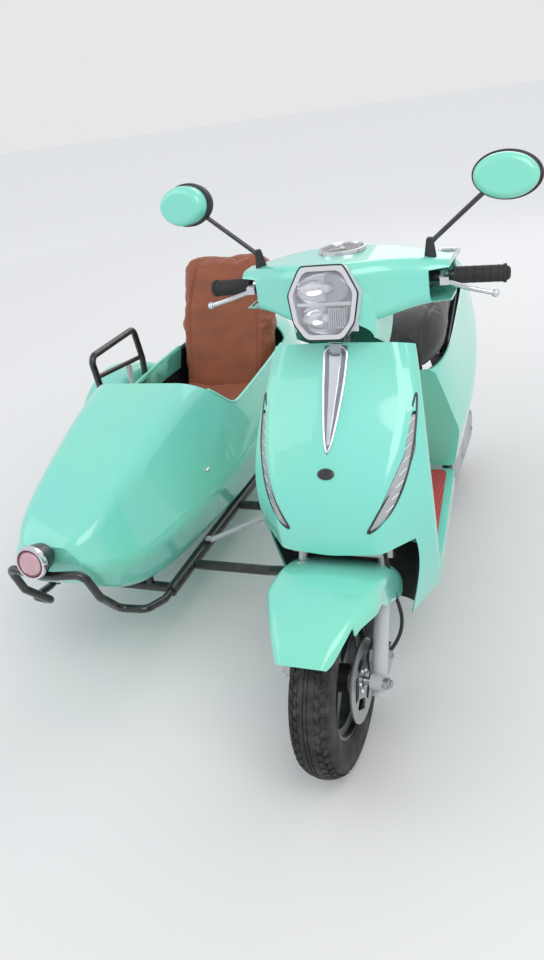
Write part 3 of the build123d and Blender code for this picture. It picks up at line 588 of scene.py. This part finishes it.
def struck(node, origin, way):
    """Where a line first meets a CAD piece, or None."""
    if node not in TREES:
        mesh = NODES[node].data
        faces = [tuple(p.vertices) for p in mesh.polygons]
        TREES[node] = BVHTree.FromPolygons([v.co for v in mesh.vertices], faces)
    return TREES[node].ray_cast(Vector(origin), Vector(way).normalized())[0]


def facing(node, x, z, lift=0.0):
    """The point of a panel straight behind (x, z) as seen from the front, lifted towards the front."""
    place = struck(node, at(x, -600, z), (0, 1, 0))
    return place + Vector((0, -lift, 0)) if place else None


def on_panels(outline, lift):
    """An (x, z) outline laid on the leg shield and what is let into it."""
    places = []
    for x, z in outline:
        hits = [facing(node, x, z, lift) for node in ("leg_shield", "signal_lamps", "chrome_tie")]
        hits = [hit for hit in hits if hit]
        if hits:
            places.append(min(hits, key=lambda hit: hit.y))
    return places


PLATE_ROWS = 18          # rows of faces up a draped plate


def draped(name, outline, node, lift, thick):
    """A thin plate with an (x, z) outline in mm, laid on a panel from the front."""
    data, spline = line_curve(name, "2D", "POLY", [(x / 1000, z / 1000, 0) for x, z in outline])
    data.fill_mode = "BOTH"
    spline.use_cyclic_u = True
    obj = as_mesh(name, data)
    low, high = min(z for _, z in outline) / 1000, max(z for _, z in outline) / 1000
    for k in range(1, PLATE_ROWS):
        edit_all(obj)
        bpy.ops.mesh.bisect(plane_co=(0, low + (high - low) * k / PLATE_ROWS, 0), plane_no=(0, 1, 0))
        leave_edit()
    clean(moved(obj, Matrix.Translation(at(0, -300, 0)) @ Matrix.Rotation(pi / 2, 4, "X")))
    apply(obj, "SHRINKWRAP", wrap_method="PROJECT", use_project_y=True, use_positive_direction=True,
          target=NODES[node])
    obj.location.y -= lift
    settle(obj)
    apply(obj, "SOLIDIFY", thickness=thick, offset=0)
    return clean(obj)


def straight(name, a, b, radius):
    """A round bar with softened ends from a to b."""
    way = b - a
    bar = turned(name, [(0, radius * 0.85), (radius * 0.15, radius), (way.length - radius * 0.15, radius),
                        (way.length, radius * 0.85)], 20)
    return put(bar, a, way)


def hoop(name, radius, wire_radius, place, towards, steps):
    """A ring of round wire about an axis."""
    ring = primitive("torus", name, major_radius=radius, minor_radius=wire_radius, major_segments=steps,
                     minor_segments=10)
    return put(ring, place, towards)


# Settings


class VehicleSettings(PropertyGroup):
    paint: FloatVectorProperty(name="Paint", description="Body colour", subtype="COLOR", size=3,
                               default=(0.205, 0.70, 0.535), min=0, max=1)
    hide: FloatVectorProperty(name="Hide", description="Sidecar upholstery colour", subtype="COLOR", size=3,
                              default=(0.34, 0.088, 0.033), min=0, max=1)
    tread_count: IntProperty(name="Tread blocks", description="Blocks round each tyre",
                             default=52, min=20, max=90)
    lens_mm: FloatProperty(name="Lens", description="Focal length of the camera",
                           default=30.65, min=10, max=200)


# Operators


class VEHICLE_OT_finishes(Operator):
    """Give every rigid piece of the frame its finish"""
    bl_idname = "vehicle.finishes"
    bl_label = "Finishes"

    def execute(self, context):
        settings = context.scene.vehicle
        build_materials(settings.paint, settings.hide)
        for name, obj in NODES.items():
            finish = MATERIALS[NODE_FINISH.get(name, "plastic")]
            if obj.data.materials:
                for i in range(len(obj.data.materials)):
                    obj.data.materials[i] = finish
            else:
                obj.data.materials.append(finish)
        return {"FINISHED"}


WHEELS = (
    ("front", 0, 0, "front_wheel"),
    ("rear", 0, WHEELBASE, "rear_wheel"),
    ("sidecar", *SIDECAR_WHEEL, "sidecar_wheel"),
)


class VEHICLE_OT_tyres(Operator):
    """Build the tyres with their sidewall rings and tread blocks"""
    bl_idname = "vehicle.tyres"
    bl_label = "Tyres"

    def execute(self, context):
        count = context.scene.vehicle.tread_count
        crown_r, crown_middle = 0.0563, 0.1587
        for name, x, y, body in WHEELS:
            section = [(-0.034, 0.1312), (-0.041, 0.140), (-0.0447, 0.158), (-0.0449, 0.176),
                       (-0.0432, 0.188), (-0.0430, 0.1895), (-0.0405, 0.1965)]
            # across, depth below the crown's arc, in mm
            section += [(u / 1000, crown_middle - drop / 1000 + sqrt(crown_r ** 2 - (u / 1000) ** 2))
                        for u, drop in ((-36, 4.8), (-27, 4.8), (-18, 4.8), (-16.5, 1.0), (-16, 0.4),
                                        (-9, 0.3), (-5.2, 0.3), (-4.8, 2.6), (-3.2, 2.6), (-2.8, 0.3),
                                        (0, 0.2))]
            section += [(-z, r) for z, r in reversed(section[:-1])]
            carcass = turned(name + "_carcass", section, 96, ring=True)
            middle = at(x, y, TYRE_R)
            put(carcass, middle, (1, 0, 0))
            blocks = []
            # across, half width, length round, turn in degrees
            for across, half, length, skew in ((-0.0315, 0.0048, 0.0150, 22), (-0.0205, 0.0046, 0.0185, -16),
                                               (0.0205, 0.0046, 0.0185, 16), (0.0315, 0.0048, 0.0150, -22)):
                block = slab("block", (-half, -length / 2, -0.0042), (half, length / 2, 0.0042), 0.0012, 1)
                block.rotation_euler = (0, 0, radians(skew))
                settle(block)
                lean = -across / crown_r
                height = crown_middle + sqrt(crown_r ** 2 - across ** 2) - 0.0046
                base = Matrix.Translation((across, 0, height)) @ Matrix.Rotation(-lean, 4, "Y")
                step = 2 * pi / count
                shift = step / 2 if abs(across) > 0.025 else 0
                moved(block, base)
                ring = copies(block, [Matrix.Rotation(i * step + shift, 4, "X") for i in range(count)])
                bpy.data.objects.remove(block)
                blocks += ring
            tread = joined(name + "_tread", blocks)
            tread.location = middle
            settle(tread)
            tyre = joined(name + "_tyre_built", [carcass, tread])
            finished(tyre, "tyre", body, 30)
            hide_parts(name + "_tyre")
        return {"FINISHED"}


class VEHICLE_OT_upholstery(Operator):
    """Blow up the sidecar's seat back and cushion and the rider's saddle, and press their seams"""
    bl_idname = "vehicle.upholstery"
    bl_label = "Upholstery"

    def execute(self, context):
        back = puffed("seat_back", "sidecar_backrest", 0.008, 0.020, 4)
        lean = radians(21)
        foot = at(SIDECAR_X, 1222, 420)
        out = Vector((0, -cos(lean), sin(lean)))
        up = Vector((0, sin(lean), cos(lean)))

        def back_seam(place, normal):
            if normal.dot(out) < 0.2:
                return None
            way = place - foot
            high = way.dot(up)
            edge = 0.132 - 0.045 * max(0.0, high - 0.26) / 0.2
            return abs(abs(way.x) - edge)

        groove(back, 0.006, 0.005, back_seam)

        def back_border(place, normal):
            return (place - foot).dot(out) + 0.010 if abs(normal.dot(out)) < 0.75 else None

        groove(back, 0.003, 0.004, back_border)
        finished(back, "leather", "vehicle", 60)
        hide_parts("sidecar_backrest")

        cushion = puffed("seat_cushion", "sidecar_cushion", 0.008, 0.016, 4)
        middle = at(SIDECAR_X, 1040, 419)

        def cushion_seam(place, normal):
            if normal.z < 0.25:
                return None
            return min(abs(abs(place.x - middle.x) - 0.130), abs(place.y - (middle.y - 0.118)))

        groove(cushion, 0.005, 0.005, cushion_seam)
        finished(cushion, "leather", "vehicle", 60)
        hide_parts("sidecar_cushion")

        saddle = puffed("saddle_cover", "saddle", 0.006, 0.010, 3)

        def saddle_seam(place, normal):
            if normal.z < 0.15:
                return None
            y = (place.y - FORE_Y) * 1000
            half = 0.088 - max(0.0, y - 900) * 0.00006
            step = 0.004 * (y - 985) / 1000
            across = abs(abs(place.x - FORE_X) - half)
            within = abs(place.x - FORE_X) < half
            return min(across, abs(place.y - FORE_Y - 0.985) + step if within else 1.0)

        groove(saddle, 0.004, 0.004, saddle_seam)
        finished(saddle, "vinyl", "seat", 60)
        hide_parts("saddle")
        return {"FINISHED"}


LAMP_TILT = radians(12)
LAMP_OUT = Vector((0, -cos(LAMP_TILT), sin(LAMP_TILT)))
LAMP_UP = Vector((0, sin(LAMP_TILT), cos(LAMP_TILT)))
LAMP_MIDDLE = at(0, 202, 990)


def lamp_point(across, up, depth):
    """A point of the headlight by its place on the face, in mm, and its depth behind it."""
    return LAMP_MIDDLE + Vector((across / 1000, 0, 0)) + LAMP_UP * (up / 1000) - LAMP_OUT * (depth / 1000)


def lamp_matrix(across, up, depth):
    """Stands a piece modelled along +Z, its Y up, on the headlight's face."""
    turn = Matrix((Vector((1, 0, 0)), LAMP_UP, LAMP_OUT)).transposed().to_4x4()
    return Matrix.Translation(lamp_point(across, up, depth)) @ turn


class VEHICLE_OT_headlight(Operator):
    """Build the two reflector bowls, the bright bar and the fluted insert behind the headlight's lens"""
    bl_idname = "vehicle.headlight"
    bl_label = "Headlight"

    def execute(self, context):
        bowls = []
        for up, wide, tall in ((27, 1.0, 0.62), (-30, 0.86, 0.62)):
            bowl = turned("bowl", [(0.030, 0.012), (0.026, 0.022), (0.019, 0.036), (0.010, 0.047),
                                   (0.0, 0.054), (-0.002, 0.054), (0.010, 0.049), (0.021, 0.037),
                                   (0.028, 0.023), (0.033, 0.012)], 40, ring=True)
            clean(stretched(bowl, (wide, tall, -1)))
            bowls.append(moved(bowl, lamp_matrix(0, up, 8)))
            bulb = turned("bulb", [(0.0, 0.004), (0.002, 0.008), (0.010, 0.0095), (0.020, 0.0085),
                                   (0.024, 0.004)], 24)
            moved(bulb, lamp_matrix(0, up, 36))
            finished(bulb, "bezel", "steering", 40)
            bulb.name = f"bulb_{'upper' if up > 0 else 'lower'}"
        reflector = joined("headlight_reflectors", bowls)
        finished(reflector, "chrome", "steering", 30)

        bar = slab("bar", (-0.056, -0.004, -0.004), (0.056, 0.004, 0.006), 0.0015)
        moved(bar, lamp_matrix(0, -2, 12))
        fins = []
        for i in range(9):
            fin = slab("fin", (-0.0012, -0.020, -0.003), (0.0012, 0.020, 0.003), 0.0006, 1)
            fins.append(moved(fin, lamp_matrix(8 + i * 4.6, -30, 14)))
        bar = joined("headlight_bar", [bar] + fins)
        finished(bar, "soft_chrome", "steering", 30)

        half = [(36, 72.5), (46, 71), (68, 27), (72.5, 18), (71, 8), (64, -34), (60, -44), (43, -66),
                (34, -71.5)]
        edge = [lamp_point(x, z, 1.5) for x, z in half + [(-x, z) for x, z in reversed(half)]]
        edge = wire("headlight_edge", edge, 0.0016, cyclic=True, order=3)
        finished(edge, "plastic", "steering", 40)

        backing = slab("headlight_backing", (-0.060, -0.060, -0.002), (0.060, 0.060, 0.002), 0.0015)
        moved(backing, lamp_matrix(0, 0, 40))
        finished(backing, "bezel", "steering", 30)
        return {"FINISHED"}


class VEHICLE_OT_mirrors(Operator):
    """Add the mirrors' black rims, glasses, elbow joints and rubber boots"""
    bl_idname = "vehicle.mirrors"
    bl_label = "Mirrors"

    def execute(self, context):
        rims, glasses, boots = [], [], []
        for side in (-1, 1):
            turn = radians(-16 if side < 0 else 0)
            out = Vector((sin(turn), -cos(turn), 0.1)).normalized()
            along = Vector((cos(turn), sin(turn), -0.1 * side)).normalized()
            up = out.cross(along) * -1
            if up.z < 0:
                up = -up
            basis = Matrix((along, up, along.cross(up))).transposed().to_4x4()
            middle = at(side * MIRROR[0], *MIRROR[1:])
            rim = turned("rim", [(-0.012, 0.0388), (-0.0132, 0.0425), (-0.004, 0.0450), (0.004, 0.0446),
                                 (0.006, 0.0400)], 56, ring=True)
            clean(stretched(rim, (MIRROR_STRETCH, 1, 1 if along.cross(up).dot(out) > 0 else -1)))
            rims.append(moved(rim, Matrix.Translation(middle) @ basis))
            glass = turned("glass", [(-0.0008, 0.0395), (0.0006, 0.0398)], 56)
            stretched(glass, (MIRROR_STRETCH, 1, 1))
            glasses.append(moved(glass, Matrix.Translation(middle - out * 0.0112) @ basis))
            elbow = turned("elbow", [(-0.012, 0.006), (-0.008, 0.0095), (0.004, 0.0105), (0.012, 0.007)], 20)
            put(elbow, at(side * 313, 357, 1162), (side * 0.8, 0.0, 0.6))
            boot = turned("boot", [(0, 0.0125), (0.006, 0.0120), (0.022, 0.0095), (0.034, 0.0078),
                                   (0.040, 0.0060)], 20)
            put(boot, at(side * 184, 362, 1028), (side * 0.03, -0.08, 1))
            boots += [elbow, boot]
        finished(joined("mirror_rims", rims), "plastic", "steering", 40)
        finished(joined("mirror_glasses", glasses), "mirror", "steering", 40)
        finished(joined("mirror_boots", boots), "rubber", "steering", 40)
        return {"FINISHED"}


class VEHICLE_OT_shield_trim(Operator):
    """Edge the signal lamps and the tie, and lay the bare oval plate on the front panel"""
    bl_idname = "vehicle.shield_trim"
    bl_label = "Front panel trim"

    def execute(self, context):
        rims, ribs = [], []
        outer = [(81, 548), (106, 562), (134, 592), (153, 634), (166, 690), (169, 745), (165, 801)]
        inner = [(156, 745), (151, 690), (137, 642), (112, 602), (94, 570)]
        for side in (-1, 1):
            line = on_panels([(side * x, z) for x, z in outer + inner], 0.0006)
            rims.append(wire("signal_rim", line, 0.0024, cyclic=True, order=3))
            for k in range(9):
                z = 600 + k * 21
                low, high = [(a, b) for a, b in zip(outer, outer[1:]) if a[1] <= z <= b[1]][0]
                far = low[0] + (high[0] - low[0]) * (z - low[1]) / (high[1] - low[1])
                rib = [(side * (far - 4), z), (side * (far - 10), z - 4), (side * (far - 16), z - 8)]
                line = on_panels(rib, -0.0008)
                ribs.append(wire("signal_rib", line, 0.0009, order=3))
        finished(joined("signal_rims", rims), "black_gloss", "vehicle", 40)
        finished(joined("signal_ribs", ribs), "chrome", "vehicle", 40)

        outline = [(25, 884), (24, 850), (22, 815), (15, 760), (8, 722), (0, 700)]
        outline += [(-x, z) for x, z in reversed(outline[:-1])]
        border = wire("tie_border", on_panels(outline, 0.001), 0.0026, cyclic=True, order=3)
        finished(border, "chrome", "vehicle", 40)
        fill = draped("tie_plate", outline, "leg_shield", 0.0004, 0.0016)
        finished(fill, "smoke_chrome", "vehicle", 30)

        plate = turned("plate", [(-0.002, 0.010), (0.0008, 0.0104), (0.0026, 0.0098), (0.0034, 0.0086)], 40)
        stretched(plate, (1.75, 1.15, 1))
        middle = facing("leg_shield", 0, 668)
        above = facing("leg_shield", 0, 690)
        rise = (above - middle).normalized()
        put(plate, middle, rise.cross(Vector((-1, 0, 0))), (0, 0, 1))
        finished(plate, "black_gloss", "vehicle", 40)
        return {"FINISHED"}


class VEHICLE_OT_controls(Operator):
    """Add the dial's ring and marks, the grips' ribs and flanges, cables and perch bolts"""
    bl_idname = "vehicle.controls"
    bl_label = "Controls"

    def execute(self, context):
        top = at(0, 370.3, 1056)
        ring = turned("dial_ring", [(-0.004, 0.0452), (0.0015, 0.0448), (0.0035, 0.0462), (0.0030, 0.0490),
                                    (-0.004, 0.0500)], 64, ring=True)
        put(ring, top)
        finished(ring, "soft_chrome", "steering", 40)
        marks = []
        for k in range(21):
            turn = Matrix.Rotation(radians(-135 + k * 13.5), 4, "Z")
            long = 0.006 if k % 5 == 0 else 0.0035
            mark = slab("mark", (-0.0006, 0.039 - long, 0.0), (0.0006, 0.039, 0.0006))
            marks.append(moved(mark, Matrix.Translation(top) @ turn))
        needle = slab("needle", (-0.0009, -0.006, 0.0008), (0.0009, 0.030, 0.0018), 0.0003, 1)
        moved(needle, Matrix.Translation(top) @ Matrix.Rotation(radians(128), 4, "Z"))
        cap = turned("cap", [(0.0, 0.005), (0.0022, 0.005), (0.003, 0.004)], 20)
        put(cap, top)
        finished(joined("dial_marks", marks + [needle, cap]), "ivory", "steering", 40)

        ribs, flanges, metal = [], [], []
        for side in (-1, 1):
            end = at(side * 322, 410.3, 975.5)
            way = (at(side * 190, 386.3, 983.5) - end).normalized()
            count, pitch = (14, 0.006) if side < 0 else (5, 0.016)
            for k in range(count):
                ribs.append(hoop("rib", 0.0168, 0.0011, end + way * (0.012 + k * pitch), way, 32))
            reach = 0.0215 if side > 0 else 0.0195
            flange = turned("flange", [(-0.002, 0.0165), (-0.0015, reach), (0.0015, reach),
                                       (0.002, 0.0165)], 36)
            flanges.append(put(flange, end + way * 0.0985, way))
            tip = turned("tip", [(0.0, 0.0125), (0.003, 0.0145), (0.007, 0.0125), (0.009, 0.009)], 28)
            flanges.append(put(tip, end - way * 0.003, -way))
            perch = end + way * 0.120
            metal.append(bolt(perch + Vector((0, -0.036, 0.0075)), (0, 0, 1), 0.0045, 0.004))
            metal.append(bolt(perch + Vector((0, -0.012, 0.0105)), (0, 0, 1), 0.0035, 0.004))
            route = ((0.004, -0.040, -0.004), (0.022, -0.052, -0.008), (0.040, -0.040, -0.020),
                     (0.052, -0.014, -0.026))
            flanges.append(wire("cable", [perch + Vector((-side * x, y, z)) for x, y, z in route], 0.0028))
        finished(joined("grip_ribs", ribs), "rubber", "steering", 40)
        finished(joined("grip_flanges", flanges), "plastic", "steering", 40)
        finished(joined("lever_bolts", metal), "steel", "steering", 30)
        return {"FINISHED"}


class VEHICLE_OT_running_gear(Operator):
    """Add axle nuts, fork seals, disc and caliper bolts, the brake hose, springs and the drive unit's fins"""
    bl_idname = "vehicle.running_gear"
    bl_label = "Running gear"

    def execute(self, context):
        nuts = [bolt(at(side * 115, 0, TYRE_R), (side, 0, 0), 0.0095, 0.009) for side in (-1, 1)]
        nuts += [bolt(at(100, y, z), (1, 0, 0), 0.0055, 0.006) for y, z in ((58, 238), (92, 214))]
        finished(joined("axle_nuts", nuts), "steel", "steering", 30)
        seals = []
        for side in (-1, 1):
            seal = turned("seal", [(-0.010, 0.0180), (-0.006, 0.0196), (0.004, 0.0190), (0.010, 0.0160),
                                   (0.0105, 0.0132)], 32)
            seals.append(put(seal, steer(side * 90, 0, 434), (0, sin(RAKE), cos(RAKE))))
        route = ((102, 84, 236), (120, 112, 252), (124, 138, 292), (112, 128, 348), (108, 112, 420),
                 (98, 120, 500), (76, 150, 560), (44, 170, 610))
        hose = wire("hose", [at(*place) for place in route], 0.0042)
        finished(joined("fork_seals", seals + [hose]), "rubber", "steering", 40)
        bolts = []
        for k in range(5):
            a = radians(90 + 72 * k)
            bolts.append(bolt(at(60, 24 * cos(a), TYRE_R + 24 * sin(a)), (1, 0, 0), 0.0042, 0.0035))
        for side in (-1, 1):
            bolts.append(hoop("rim_line", 0.1282, 0.0016, at(side * 31, 0, TYRE_R), (1, 0, 0), 96))
        finished(joined("disc_bolts", bolts), "soft_chrome", "front_wheel", 30)

        springs = []
        turns, per_turn = 9, 10
        for side in (-1, 1):
            foot, head = at(side * 79, 1290, 234), at(side * 69, 1262, 648)
            way = head - foot
            x = Vector((1, 0, 0)) - way * (way.x / way.length_squared)
            x.normalize()
            y = way.normalized().cross(x)
            points = []
            last = turns * per_turn
            for k in range(last + 1):
                a = 2 * pi * k / per_turn
                points.append(foot + way * (0.30 + 0.42 * k / last) + (x * cos(a) + y * sin(a)) * 0.0235)
            springs.append(wire("spring", points, 0.0032, order=3))
        finished(joined("shock_springs", springs), "black_gloss", "vehicle", 40)

        fins = []
        for k in range(9):
            fins.append(slab("fin", at(-79, 924 + k * 13, 300), at(71, 928 + k * 13, 392), 0.001, 1))
        for y, z in ((985, 185), (1120, 185), (1320, 190), (1300, 255), (1120, 280), (985, 285)):
            fins.append(bolt(at(98, y, z + 8), (1, 0, 0), 0.005, 0.004))
        finished(joined("drive_unit_fins", fins), "cast", "vehicle", 30)
        axis = Vector((0, 1, 0.12)).normalized()
        tail = at(-172, 1010, 220) + axis * 0.400
        pipe = turned("outlet", [(-0.004, 0.0135), (0.018, 0.0135), (0.018, 0.0105), (0.002, 0.0105),
                                 (0.002, 0.002)], 28)
        put(pipe, tail + Vector((0, 0, -0.014)), axis)
        bands = [hoop("band", 0.0482, 0.0018, tail - axis * d, axis, 56) for d in (0.012, 0.388)]
        finished(joined("silencer_outlet", [pipe] + bands), "soft_chrome", "vehicle", 40)
        guard = slab("guard", (-0.004, -0.130, -0.030), (0.004, 0.130, 0.030), 0.003, 2)
        moved(guard, Matrix.Translation(at(-222, 1180, 244)) @ Matrix.Rotation(radians(6.8), 4, "X"))
        finished(guard, "plastic", "vehicle", 40)
        return {"FINISHED"}


class VEHICLE_OT_sidecar_trim(Operator):
    """Add the sidecar's rolled rim, its inner edge band, hood studs, nose lamp, handle bar and stay"""
    bl_idname = "vehicle.sidecar_trim"
    bl_label = "Sidecar trim"

    def execute(self, context):
        # the rim's line in the side view: distance back, height
        line = [(1296, 526), (1200, 522), (1080, 516), (960, 509), (880, 504), (838, 504), (812, 513)]
        line += [(790, 531), (765, 554), (740, 577), (716, 599)]
        rims = {}
        for side in (-1, 1):
            rims[side] = []
            for y, z in line:
                hit = struck("sidecar_body", at(SIDECAR_X + side * 600, y, z - 6), (-side, 0, 0))
                if hit:
                    rims[side].append(hit + Vector((-side * 0.005, 0, 0.006)))
        crest = []
        low = at(SIDECAR_X, 716, 599)
        for k in range(-4, 5):
            x = k / 4 * 0.105
            hit = struck("sidecar_body", low + Vector((x, -0.060, 0.080)), (0, 0.048, -0.060))
            if hit:
                crest.append(hit + Vector((0, 0.002, -0.002)))
        rim = wire("sidecar_rim_roll", rims[-1] + crest + rims[1][::-1], 0.0062, order=3)
        finished(rim, "mint", "vehicle", 60)

        band = twin("sidecar_body", "sidecar_coaming")
        for place, normal in ((at(0, 0, 448), (0, 0, 1)), (at(0, 826, 0), (0, 1, 0)),
                              (at(0, 1290, 0), (0, -1, 0))):
            edit_all(band)
            bpy.ops.mesh.bisect(plane_co=place, plane_no=normal, use_fill=True, clear_inner=True)
            leave_edit()
        centre = at(SIDECAR_X, 0, 0).x
        narrower = Matrix.Diagonal((0.957, 1, 1, 1))
        clean(moved(band, Matrix.Translation((centre, 0, -0.002)) @ narrower
                    @ Matrix.Translation((-centre, 0, 0))))
        finished(band, "mint", "vehicle", 40)

        studs = []
        for x, y in ((-838, 690), (-531, 560), (-402, 603)):
            hit = struck("sidecar_body", at(x, y, 900), (0, 0, -1))
            if hit:
                stud = turned("stud", [(-0.003, 0.0045), (0.004, 0.0042), (0.0042, 0.0075), (0.007, 0.0078),
                                       (0.0095, 0.005)], 24)
                studs.append(put(stud, hit, (0, -0.35, 1)))
        finished(joined("hood_studs", studs), "soft_chrome", "vehicle", 40)

        out = Vector((0, -cos(radians(10)), sin(radians(10))))
        lamp = at(SIDECAR_X, 30, 432) + out * 0.006
        # name, finish, slot, smoothing angle, steps, closed ring, profile
        for name, finish, slot, angle, steps, ring, profile in (
            ("can", "black_gloss", "black_paint", 40, 56, False,
             [(-0.040, 0.034), (-0.010, 0.0405), (0.006, 0.0415), (0.0085, 0.040)]),
            ("nose_bezel", "chrome", "chrome", 40, 56, True,
             [(0.0, 0.0345), (0.012, 0.0345), (0.0155, 0.0365), (0.0150, 0.0405), (0.006, 0.0425),
              (0.0, 0.0425)]),
            ("nose_inner", "rose_ring", "red_lens", 40, 56, True,
             [(0.004, 0.030), (0.0135, 0.0305), (0.0145, 0.0335), (0.006, 0.0346)]),
            ("nose_bowl", "chrome", "chrome", 40, 48, False,
             [(0.0095, 0.004), (0.0100, 0.012), (0.0118, 0.022), (0.0135, 0.030), (0.0125, 0.0305),
              (0.0090, 0.012)]),
            ("nose_dome", "pink", "pink_lens", 60, 48, False,
             [(0.0140, 0.0300), (0.0175, 0.0275), (0.0200, 0.0215), (0.0215, 0.0130), (0.0220, 0.004)]),
        ):
            finished(put(turned(name, profile, steps, ring), lamp, out), finish, "vehicle", angle)

        bar = straight("handle_bar", at(-1001, 808, 600), at(-1001, 1090, 566), 0.008)
        finished(bar, "black_gloss", "vehicle", 40)
        tab = slab("handle_tab", at(-1008, 990, 486), at(-996, 1014, 566), 0.003, 2)
        finished(tab, "silver", "vehicle", 40)

        stay = [straight("stay", at(-548, 520, 196), at(-116, 866, 262), 0.008)]
        for place in (at(-550, 518, 196), at(-114, 868, 262)):
            stay.append(bolt(place + Vector((0, 0, 0.006)), (0, 0, 1), 0.008, 0.007))
        finished(joined("sidecar_stay", stay), "silver", "vehicle", 30)
        return {"FINISHED"}


class VEHICLE_OT_stage(Operator):
    """Lay the floor, set the lamps and place the camera"""
    bl_idname = "vehicle.stage"
    bl_label = "Stage and camera"

    def execute(self, context):
        scene = context.scene
        floor = primitive("plane", "studio_floor", size=40, location=(0, 0, -0.0005))
        settle(floor)
        mat, tree, shader, coords = blank("studio_pale", (0.76, 0.76, 0.76), 0.9)
        shader.inputs["Specular IOR Level"].default_value = 0.1
        # Painted shade: the floor is darker near the vehicle and pales with distance towards the backdrop's
        # tone.
        apart = add_node(tree, "VectorMath", {0: coords}, operation="LENGTH").outputs["Value"]
        reach = add_node(tree, "MapRange", {"From Min": 1.5, "From Max": 7.0, "Value": apart})
        tint(tree, shader, reach.outputs["Result"], 0.0, 1.0, (0.76, 0.76, 0.76), (0.96, 0.96, 0.96))
        floor.data.materials.append(mat)
        world = bpy.data.worlds.new("studio")
        world.use_nodes = True
        tree = world.node_tree
        room = tree.nodes["Background"]
        room.inputs["Color"].default_value = (0.95, 0.97, 1.0, 1)
        room.inputs["Strength"].default_value = 0.82
        backdrop = add_node(tree, "Background", {"Color": (0.80, 0.80, 0.80, 1)})
        path = add_node(tree, "LightPath", {})
        choose = add_node(tree, "MixShader", {"Fac": path.outputs["Is Camera Ray"],
                                              1: room.outputs["Background"],
                                              2: backdrop.outputs["Background"]})
        tree.links.new(choose.outputs["Shader"], tree.nodes["World Output"].inputs["Surface"])
        scene.world = world
        for name, place, size, power, color in (
            ("key", (2.6, -2.8, 4.2), 3.0, 90, (1, 0.98, 0.95)),
            ("fill", (-3.6, -1.6, 3.0), 3.0, 30, (0.92, 0.96, 1)),
            ("back", (0.6, 3.8, 3.4), 3.0, 35, (1, 1, 1)),
        ):
            data = bpy.data.lights.new(name, "AREA")
            data.energy = power
            data.size = size
            data.color = color
            lamp = added(name, data)
            lamp.location = place
            aim = Vector((0, 0, 0.5)) - Vector(place)
            lamp.rotation_euler = aim.to_track_quat("-Z", "Y").to_euler()
        yaw, pitch, roll = map(radians, CAMERA_TURN)
        ahead = Vector((-sin(yaw) * cos(pitch), cos(yaw) * cos(pitch), -sin(pitch)))
        right = Vector((cos(yaw), sin(yaw), 0))
        up = right.cross(ahead)
        right, up = cos(roll) * right + sin(roll) * up, -sin(roll) * right + cos(roll) * up
        data = bpy.data.cameras.new("photo_camera")
        data.lens = scene.vehicle.lens_mm
        data.sensor_width = 36
        camera = added("photo_camera", data)
        turn = Matrix((right, up, -ahead)).transposed().to_4x4()
        camera.matrix_world = Matrix.Translation(CAMERA_PLACE) @ turn
        scene.camera = camera
        scene.view_settings.view_transform = "Standard"
        return {"FINISHED"}


class VEHICLE_PT_panel(Panel):
    """Lists the steps that dress the vehicle"""
    bl_idname = "VEHICLE_PT_panel"
    bl_label = "Scooter with sidecar"
    bl_space_type = "VIEW_3D"
    bl_region_type = "UI"
    bl_category = "Vehicle"

    def draw(self, context):
        settings = context.scene.vehicle
        for key in ("paint", "hide", "tread_count", "lens_mm"):
            self.layout.prop(settings, key)
        for step in STEPS:
            self.layout.operator(step.bl_idname)


STEPS = (
    VEHICLE_OT_finishes,
    VEHICLE_OT_stage,
    VEHICLE_OT_tyres,
    VEHICLE_OT_upholstery,
    VEHICLE_OT_headlight,
    VEHICLE_OT_mirrors,
    VEHICLE_OT_shield_trim,
    VEHICLE_OT_controls,
    VEHICLE_OT_running_gear,
    VEHICLE_OT_sidecar_trim,
)
CLASSES = (VehicleSettings,) + STEPS + (VEHICLE_PT_panel,)


def register():
    for cls in CLASSES:
        bpy.utils.register_class(cls)
    bpy.types.Scene.vehicle = PointerProperty(type=VehicleSettings)


def unregister():
    del bpy.types.Scene.vehicle
    for cls in reversed(CLASSES):
        bpy.utils.unregister_class(cls)


def main():
    register()
    for step in STEPS:
        group, name = step.bl_idname.split(".")
        getattr(getattr(bpy.ops, group), name)()


if __name__ == "__main__":
    main()
